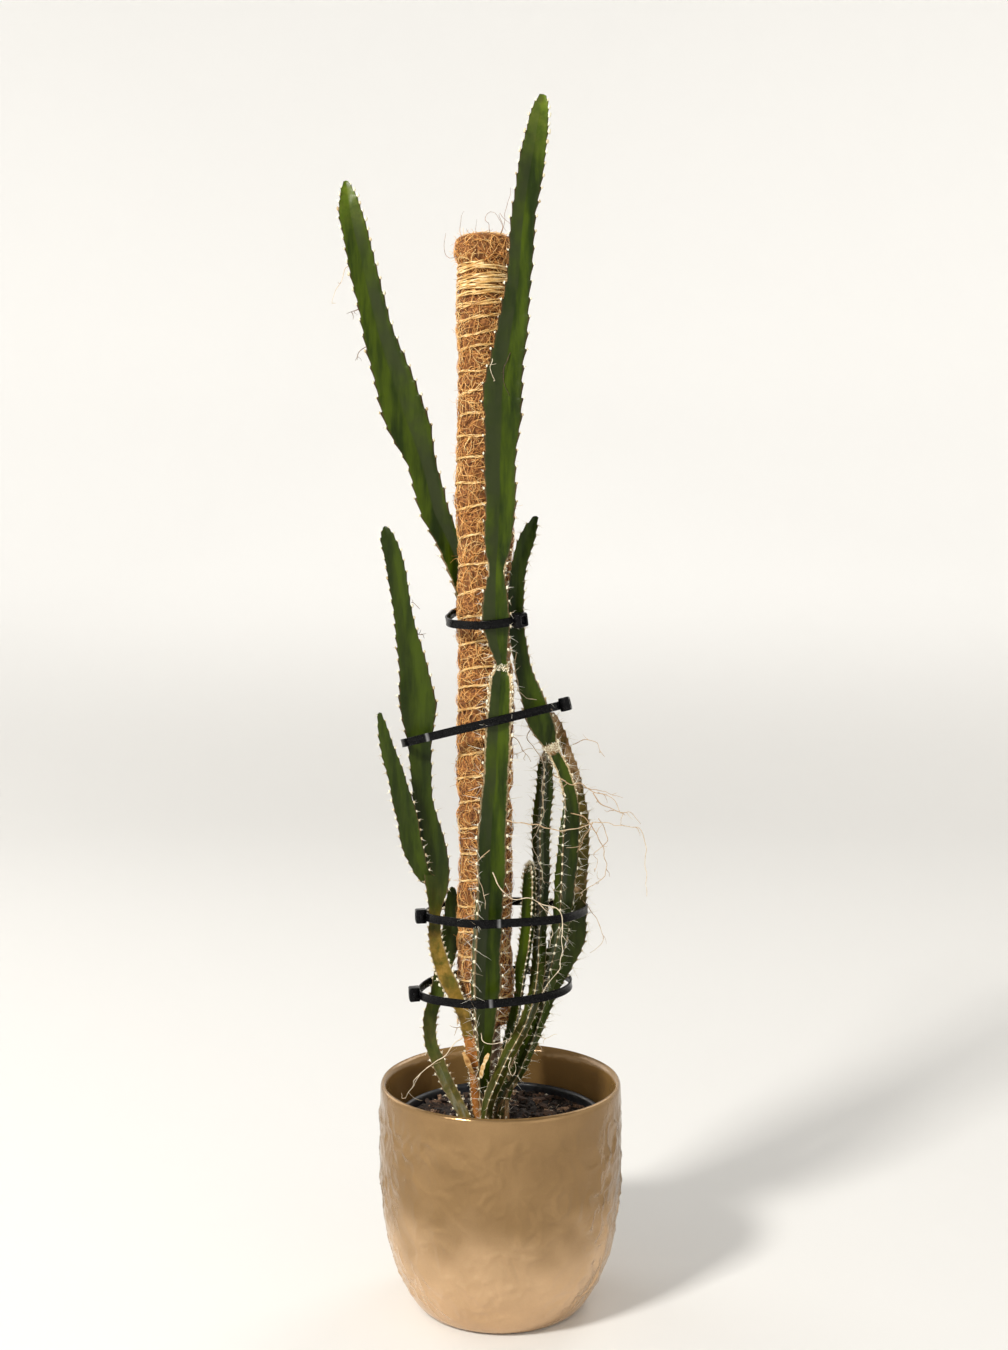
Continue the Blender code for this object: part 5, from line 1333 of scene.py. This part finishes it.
# %% Coir: loose fibres
def coir_fibres(count, length, lift, thick, seed, steps):
    """Curved fibres laid on the sleeve: the middle of each is lifted, and its ends dive in.

    A fibre starts at a random place and runs in a random direction on the unrolled sleeve, with a
    sideways bow. Its distance from the axis is the sleeve's radius plus lift times (1 - t squared).
    """
    draw = np.random.default_rng(seed)
    t = np.linspace(-1, 1, steps)[None]
    height0 = draw.uniform(COIR_BOTTOM, COIR_TOP, (count, 1))
    around0 = draw.uniform(0, 2 * np.pi, (count, 1))
    aim = draw.uniform(0, np.pi, (count, 1))
    half = draw.uniform(*length, (count, 1)) / 2
    bow = draw.normal(0, 0.32, (count, 1)) * (1 - t ** 2)
    bow = (bow + draw.normal(0, 0.14, (count, 1)) * np.sin(4.7 * t)) * half
    height = height0 + half * t * np.cos(aim) - bow * np.sin(aim)
    around = around0 + (half * t * np.sin(aim) + bow * np.cos(aim)) / SLEEVE_REACH
    height = np.clip(height, COIR_BOTTOM - 1.5, COIR_TOP - 1.5)
    rise = draw.uniform(*lift, (count, 1)) * (1 - t ** 2)
    end_curve = np.interp(height, [608, 614, 617], [0, 0.6, 3.5])
    radius = sleeve_radius(around % (2 * np.pi), height) - 0.35 + rise - end_curve
    paths = on_pole(around, height, radius)
    radii = thick * draw.uniform(0.7, 1.3, (count, 1))
    return tinted_tubes(paths, radii, 3, np.clip(draw.normal(0.52, 0.3, count), 0, 1))


COIR = tinted_finish("coir_fibre", [
    (0.05, (0.10, 0.030, 0.007)), (0.3, (0.54, 0.21, 0.045)), (0.62, (0.88, 0.45, 0.125)),
    (0.95, (0.95, 0.66, 0.28))], 0.5, 2.0)
add_piece("coir_fibres", [
    coir_fibres(4800, (5, 15), (0.1, 1.2), 0.165, 44, steps=5),
    coir_fibres(850, (11, 28), (0.5, 1.8), 0.13, 45, steps=7)], COIR, "coir")

# %% Coir: hairs that stand off, and the crown
def loose_hairs(count, heights, reach, thick, upward, seed, steps=8):
    """Hairs that leave the sleeve and wander: the heading turns a little at every step."""
    draw = np.random.default_rng(seed)
    height = draw.uniform(*heights, count)
    around = draw.uniform(0, 2 * np.pi, count)
    radius = np.minimum(sleeve_radius(around, height) - 0.6, np.interp(height, [611, 616.5], [17, 11]))
    start = on_pole(around, height, radius)
    out = unit(start - on_pole(around, height, 0 * radius))
    heading = out * draw.uniform(0.15, 0.8, (count, 1)) + draw.normal(0, 0.7, (count, 3)) + (0, 0, upward)
    paths = wanderers(start, unit(heading), draw.uniform(*reach, count), steps, 0.3, draw)
    radii = thick * np.linspace(1, 0.55, steps + 1)[None] * draw.uniform(0.7, 1.2, (count, 1))
    return tinted_tubes(paths, radii, 3, np.clip(draw.normal(0.6, 0.25, count), 0, 1))


def crown_loops(count, seed):
    """Fibres that arch over the crown, from its side or top back into it."""
    draw = np.random.default_rng(seed)
    t = np.linspace(0, 1, 7)[None, :, None]
    ends = []
    for _ in range(2):
        around = draw.uniform(0, 2 * np.pi, count)
        radius = CROWN_REACH * np.sqrt(draw.uniform(0.05, 1, count))
        height = np.interp(radius, [0, CROWN_SHELL, CROWN_REACH], [616.4, 616, 608])
        ends.append(on_pole(around, height - draw.uniform(0, 1.5, count), radius))
    far = ends[0] + unit(ends[1] - ends[0]) * draw.uniform(5, 16, (count, 1))
    middle = on_pole(0.0, CROWN_MIDDLE, 0.0)
    paths = ends[0][:, None] * (1 - t) + far[:, None] * t
    out = paths - middle
    distance = np.linalg.norm(out, axis=2, keepdims=True)
    shell = np.minimum(distance, CROWN_SHELL + 2.2 * np.abs(out[..., 2:]) / distance)
    lift = draw.uniform(0.3, 2.6, (count, 1, 1)) * np.sin(np.pi * t)
    paths = middle + out / distance * (shell + lift)
    radii = 0.15 * draw.uniform(0.7, 1.3, (count, 1))
    return tinted_tubes(paths, radii, 3, np.clip(draw.normal(0.80, 0.20, count), 0, 1))


LONG_HAIRS = [
    [(-1, -8, 612), (0.5, -10, 620), (-0.5, -12, 627), (3, -12, 624), (7, -11, 620)],
    [(-1.5, -6, 611), (1, -8, 619), (2.5, -10, 627), (5, -11, 637), (6.5, -12, 642)],
    [(-4, -6, 612), (-6, -9, 620), (-9, -11, 625), (-5, -12, 629), (-1, -12, 624), (3, -12, 618)],
    [(-20, -4, 611), (-22, -5, 618), (-21.5, -6, 625), (-20.5, -6, 630)],
    [(-23, -6, 606), (-29, -9, 604), (-31.5, -10, 610), (-31, -10, 617)],
    [(-12, -10, 613), (-14, -12, 620), (-13, -13, 624)],
]
hair_chunks = [loose_hairs(560, (168, 606), (2.5, 8.5), 0.10, 0.1, 46),
               loose_hairs(340, (602, 616), (3, 6.5), 0.12, 0.9, 47, steps=6),
               crown_loops(850, 48)]
for number, route in enumerate(LONG_HAIRS):
    hair_points, hair_faces, _, _ = root_tube(route, 0.16, 0.1, 90 + number)
    hair_chunks.append((hair_points, hair_faces, {"tint": 0.12}))
add_piece("coir_hairs", hair_chunks, COIR, "coir")

# %% [markdown]
# ## Twine
# Four strands laid side by side and twisted, pulled so tight that the cord is flatter than it is
# wide. Each strand is a tube whose centre circles the cord's own middle as it climbs.

# %% Twine
TWINE_STEP = 1.5
STRANDS = 4
TWINE_GIRTH = 2 * np.pi * 15.5
LAY_LENGTH = 13.0
TIGHT_LAY_LENGTH = 48.0
CORD_WIDE = 0.46
CORD_DEEP = 0.24
STRAND_RADIUS = 0.29
TIGHT_FROM = 574.0


def twine_path():
    """The middle of the cord: it climbs through the turns' heights while it goes round the sleeve."""
    last = len(TWINE_AT_FRONT) - 1
    turns = np.linspace(0, last, int(last * TWINE_GIRTH / TWINE_STEP))
    height = curve_at(TWINE_AT_FRONT[:, None], turns)[:, 0]
    around = turns * 2 * np.pi
    uneven = waves(np.stack([around * 15, height, height], axis=1), 34, 51)
    radius = sleeve_radius(around, height) + 0.75 + 0.25 * uneven
    return around, height + uneven * np.interp(height, [560, TIGHT_FROM + 8], [1.0, 0.6]), radius


def twine_strands():
    """The strands of the cord: they lie close in the open turns and fan out flat in the tight ones."""
    around, height, radius = twine_path()
    walked = np.cumsum(np.full(len(around), TWINE_STEP))
    tight = fade_in(height, TIGHT_FROM - 6, TIGHT_FROM + 6)
    turned = np.cumsum(2 * np.pi * TWINE_STEP / (LAY_LENGTH + (TIGHT_LAY_LENGTH - LAY_LENGTH) * tight))
    chunks = []
    for strand in range(STRANDS):
        fray = waves(np.stack([walked, walked * 0, walked * 0], axis=1), 30, 55 + strand)
        twist = turned + 2 * np.pi * strand / STRANDS + 0.8 * fray
        aside = CORD_WIDE * (1 + 1.1 * tight) * np.sin(twist) + 0.2 * fray
        path = on_pole(around, height + aside, radius + CORD_DEEP * np.cos(twist) + 0.1 * tight)
        thick = STRAND_RADIUS * (1 + 0.45 * tight) * (1 + 0.2 * np.sin(walked / 3.1 + strand))
        points, faces = tubes(path[None], thick[None], 4)
        chunks.append((points, faces, {"tint": 0.5 + 0.32 * waves(points, 6, 52 + strand)}))
    return chunks


TWINE = tinted_finish("twine", [
    (0.0, (0.34, 0.15, 0.040)), (0.35, (0.60, 0.35, 0.11)), (0.65, (0.80, 0.55, 0.23)),
    (1.0, (0.95, 0.78, 0.46))], 0.32, 1.0)
add_piece("twine_cord", twine_strands(), TWINE, "twine", ("twine",))

# %% [markdown]
# ## Cable ties
# Each tie is a nylon strap pulled taut round the stems, with a square head that the tail goes
# through. The solid model already holds the loop, so its inner points are read from that node, made
# into a smooth closed curve, and a thin section with a raised edge is carried round it. The head is a
# stack of rounded squares: out, up over the bevel, and back down into the window.

# %% Ties: where each one runs
STRAP_WIDE = 4.8
STRAP_STEP = 0.9
TIE_POINTS = 44
TAUT_LIFT = 0.35
HEAD_HALF = (3.8, 4.0)
HEAD_LIFT = 0.3
HEAD_LEVELS = [(0.0, 0.86), (0.35, 1.0), (5.3, 1.0), (5.95, 0.93), (6.2, 0.84), (6.2, 0.58), (5.7, 0.54),
               (3.6, 0.5)]
TAIL_HALF = (0.68, 2.1)
TAIL_LIFT = 3.4
TAIL_LEVELS = [(3.4, 1.0), (5.2, 1.0), (5.4, 0.9)]
TIES = {
    "tie_top": ((-9, -1, 403), 7, 8, (15, -26)),
    "tie_upper": ((-11.6, 2, 339.9), 13.6, -5.5, (47, -9)),
    "tie_middle": ((2.4, -3, 231.2), 1.2, -1.7, (-45, -9)),
    "tie_lower": ((-2.6, -3, 187.4), 3, 1.1, (-44, -9)),
}
CORNER_POWER = 0.22
SQUARE_COLUMNS = 24
STRAP_SECTION = np.array([
    (0.05, -2.2), (0.25, -2.4), (1.05, -2.4), (1.3, -2.2), (1.3, -1.95), (1.14, -1.7), (1.14, 1.7),
    (1.3, 1.95), (1.3, 2.2), (1.05, 2.4), (0.25, 2.4), (0.05, 2.2)])


def tie_axes(middle, rise, dip):
    """The plane of a tie: u to the right and rising, v to the back, the normal and the middle."""
    u = np.array([math.cos(math.radians(rise)), 0, math.sin(math.radians(rise))])
    v = np.array([0, math.cos(math.radians(dip)), math.sin(math.radians(dip))])
    v = unit(v - u * (v @ u))
    return u, v, np.cross(u, v), np.array(middle, float)


def tie_loop(name, u, v, normal, middle):
    """The inner face of the strap: the nearest solid point at each of its even angles."""
    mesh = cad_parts[name].data
    points = np.empty(len(mesh.vertices) * 3, np.float32)
    mesh.vertices.foreach_get("co", points)
    points = points.reshape(-1, 3) / MM - middle
    points = points[np.abs(np.abs(points @ normal) - STRAP_WIDE / 2) < 0.02]
    x, y = points @ u, points @ v
    angle = np.arctan2(y, x) % (2 * np.pi)
    step = 2 * np.pi / TIE_POINTS
    reach = np.hypot(x, y)
    off = np.abs((angle[:, None] - np.arange(TIE_POINTS) * step + np.pi) % (2 * np.pi) - np.pi)
    reaches = np.where(off < 0.002, reach[:, None], np.inf).min(axis=0)
    known = np.isfinite(reaches)
    index = np.arange(TIE_POINTS)
    reaches = np.interp(index, index[known], reaches[known], period=TIE_POINTS)
    loop = np.stack([reaches * np.cos(index * step), reaches * np.sin(index * step)], axis=1)
    for _ in range(2):
        loop = 0.5 * loop + 0.25 * (np.roll(loop, 1, axis=0) + np.roll(loop, -1, axis=0))
    return loop + unit(loop) * TAUT_LIFT


def closed_curve(loop, count):
    """A smooth closed curve through the loop's points, with count even points."""
    padded = np.concatenate([loop[-3:], loop, loop[:4]])
    positions = np.linspace(3, 3 + len(loop), 12 * len(loop) + 1)
    fine = curve_at(padded, positions)
    walked = np.concatenate([[0], np.cumsum(np.linalg.norm(np.diff(fine, axis=0), axis=1))])
    wanted = np.linspace(0, walked[-1], count + 1)[:-1]
    return np.stack([np.interp(wanted, walked, fine[:, i]) for i in range(fine.shape[1])], axis=1)


def rounded_square(half_wide, half_high):
    """A ring of points round a rectangle with round corners: a circle pushed out by a low power."""
    turn = np.arange(SQUARE_COLUMNS) * (2 * np.pi / SQUARE_COLUMNS)
    x, y = np.cos(turn), np.sin(turn)
    x, y = np.sign(x) * np.abs(x) ** CORNER_POWER, np.sign(y) * np.abs(y) ** CORNER_POWER
    return np.stack([x * half_wide, y * half_high], axis=1)


def stack_of_squares(levels, half, seat, rise, across, normal):
    """Rounded squares of half size times share at each (level, share) along rise, closed at both ends.

    The head goes out from the strap, over its bevel and down into its window. The cut tail is a short
    one that stands out of the head's side.
    """
    rings = []
    for level, share in levels:
        ring = rounded_square(half[0] * share, half[1] * share)
        rings.append(seat + rise * level + ring[:, :1] * across + ring[:, 1:] * normal)
    return capped_grid(np.array(rings))


# %% Ties: strap, head and nylon
def black_nylon():
    """Glossy black nylon, with a painted highlight: a pale line where the strap bends, which the mesh marks.
    """
    finish = new_finish("black_nylon", 0.2, Specular_IOR_Level=0.09)
    specks = noise(finish, 2.4, 2)
    black = ramp(finish, specks, (0.3, (0.0018, 0.0018, 0.002)), (0.8, (0.005, 0.005, 0.0055)))
    # Painted highlight: where the mesh marks a bend, the black turns pale grey, standing for light caught on
    # the crease.
    to_shader(finish, "Base Color", blend(finish, layer_of(finish, "stress"), black, (0.33, 0.33, 0.34)))
    to_shader(finish, "Roughness", spread_between(finish, specks, 0.3, 0.8, 0.20, 0.32))
    bump(finish, noise(finish, 7, 1), 0.02)
    return finish


NYLON = black_nylon()
# Painted highlights across the front of these straps, at these offsets in mm to the right of the tie's
# middle.
PAINTED_GLINT_LINES = {"tie_middle": (-3.3,), "tie_lower": (-2.9,), "tie_upper": (-30.0,)}


def cable_tie(name):
    """One tie: strap, head and cut tail as one piece."""
    middle, rise, dip, head = TIES[name]
    u, v, normal, centre = tie_axes(middle, rise, dip)
    loop = tie_loop(name, u, v, normal, centre)
    count = round(np.linalg.norm(np.diff(loop, axis=0), axis=1).sum() / STRAP_STEP)
    path = closed_curve(loop, count)
    ahead = unit(np.roll(path, -2, axis=0) - np.roll(path, 2, axis=0))
    outward = np.stack([ahead[:, 1], -ahead[:, 0]], axis=1)
    ladder = 0.16 * (np.arange(count) % 3 == 0)
    lift = STRAP_SECTION[:, 0] - ladder[:, None] * (STRAP_SECTION[:, 0] < 0.1)
    flat = path[:, None] + outward[:, None] * lift[..., None]
    rings = centre + flat[..., :1] * u + flat[..., 1:] * v + STRAP_SECTION[None, :, 1:] * normal
    faces = [grid_faces(count, len(STRAP_SECTION), closed=True)[:, ::-1]]
    # The painted highlight goes only on the strap's front.
    in_front = path[:, 1] < 0
    stress = np.zeros(count)
    for line in PAINTED_GLINT_LINES.get(name, ()):
        stress += 0.8 * np.exp(-((path[:, 0] - line) / 0.55) ** 2) * in_front
    chunks = [(rings.reshape(-1, 3), faces, {"stress": np.repeat(stress, len(STRAP_SECTION))})]
    nearest = np.argmax(unit(loop) @ unit(np.array(head, float)))
    after, before = loop[(nearest + 1) % TIE_POINTS], loop[nearest - 1]
    across = unit((after - before)[0] * u + (after - before)[1] * v)
    out = np.cross(across, normal)
    seat = centre + loop[nearest][0] * u + loop[nearest][1] * v
    head_body = stack_of_squares(HEAD_LEVELS, HEAD_HALF, seat + out * HEAD_LIFT, out, across, normal)
    tail_body = stack_of_squares(TAIL_LEVELS, TAIL_HALF, seat + out * TAIL_LIFT, across, out, normal)
    for part in (head_body, tail_body):
        chunks.append((*part, {"stress": 0.0}))
    add_piece(name + "_strap", chunks, NYLON, "cable_tie", (name,))


for tie_name in TIES:
    cable_tie(tie_name)
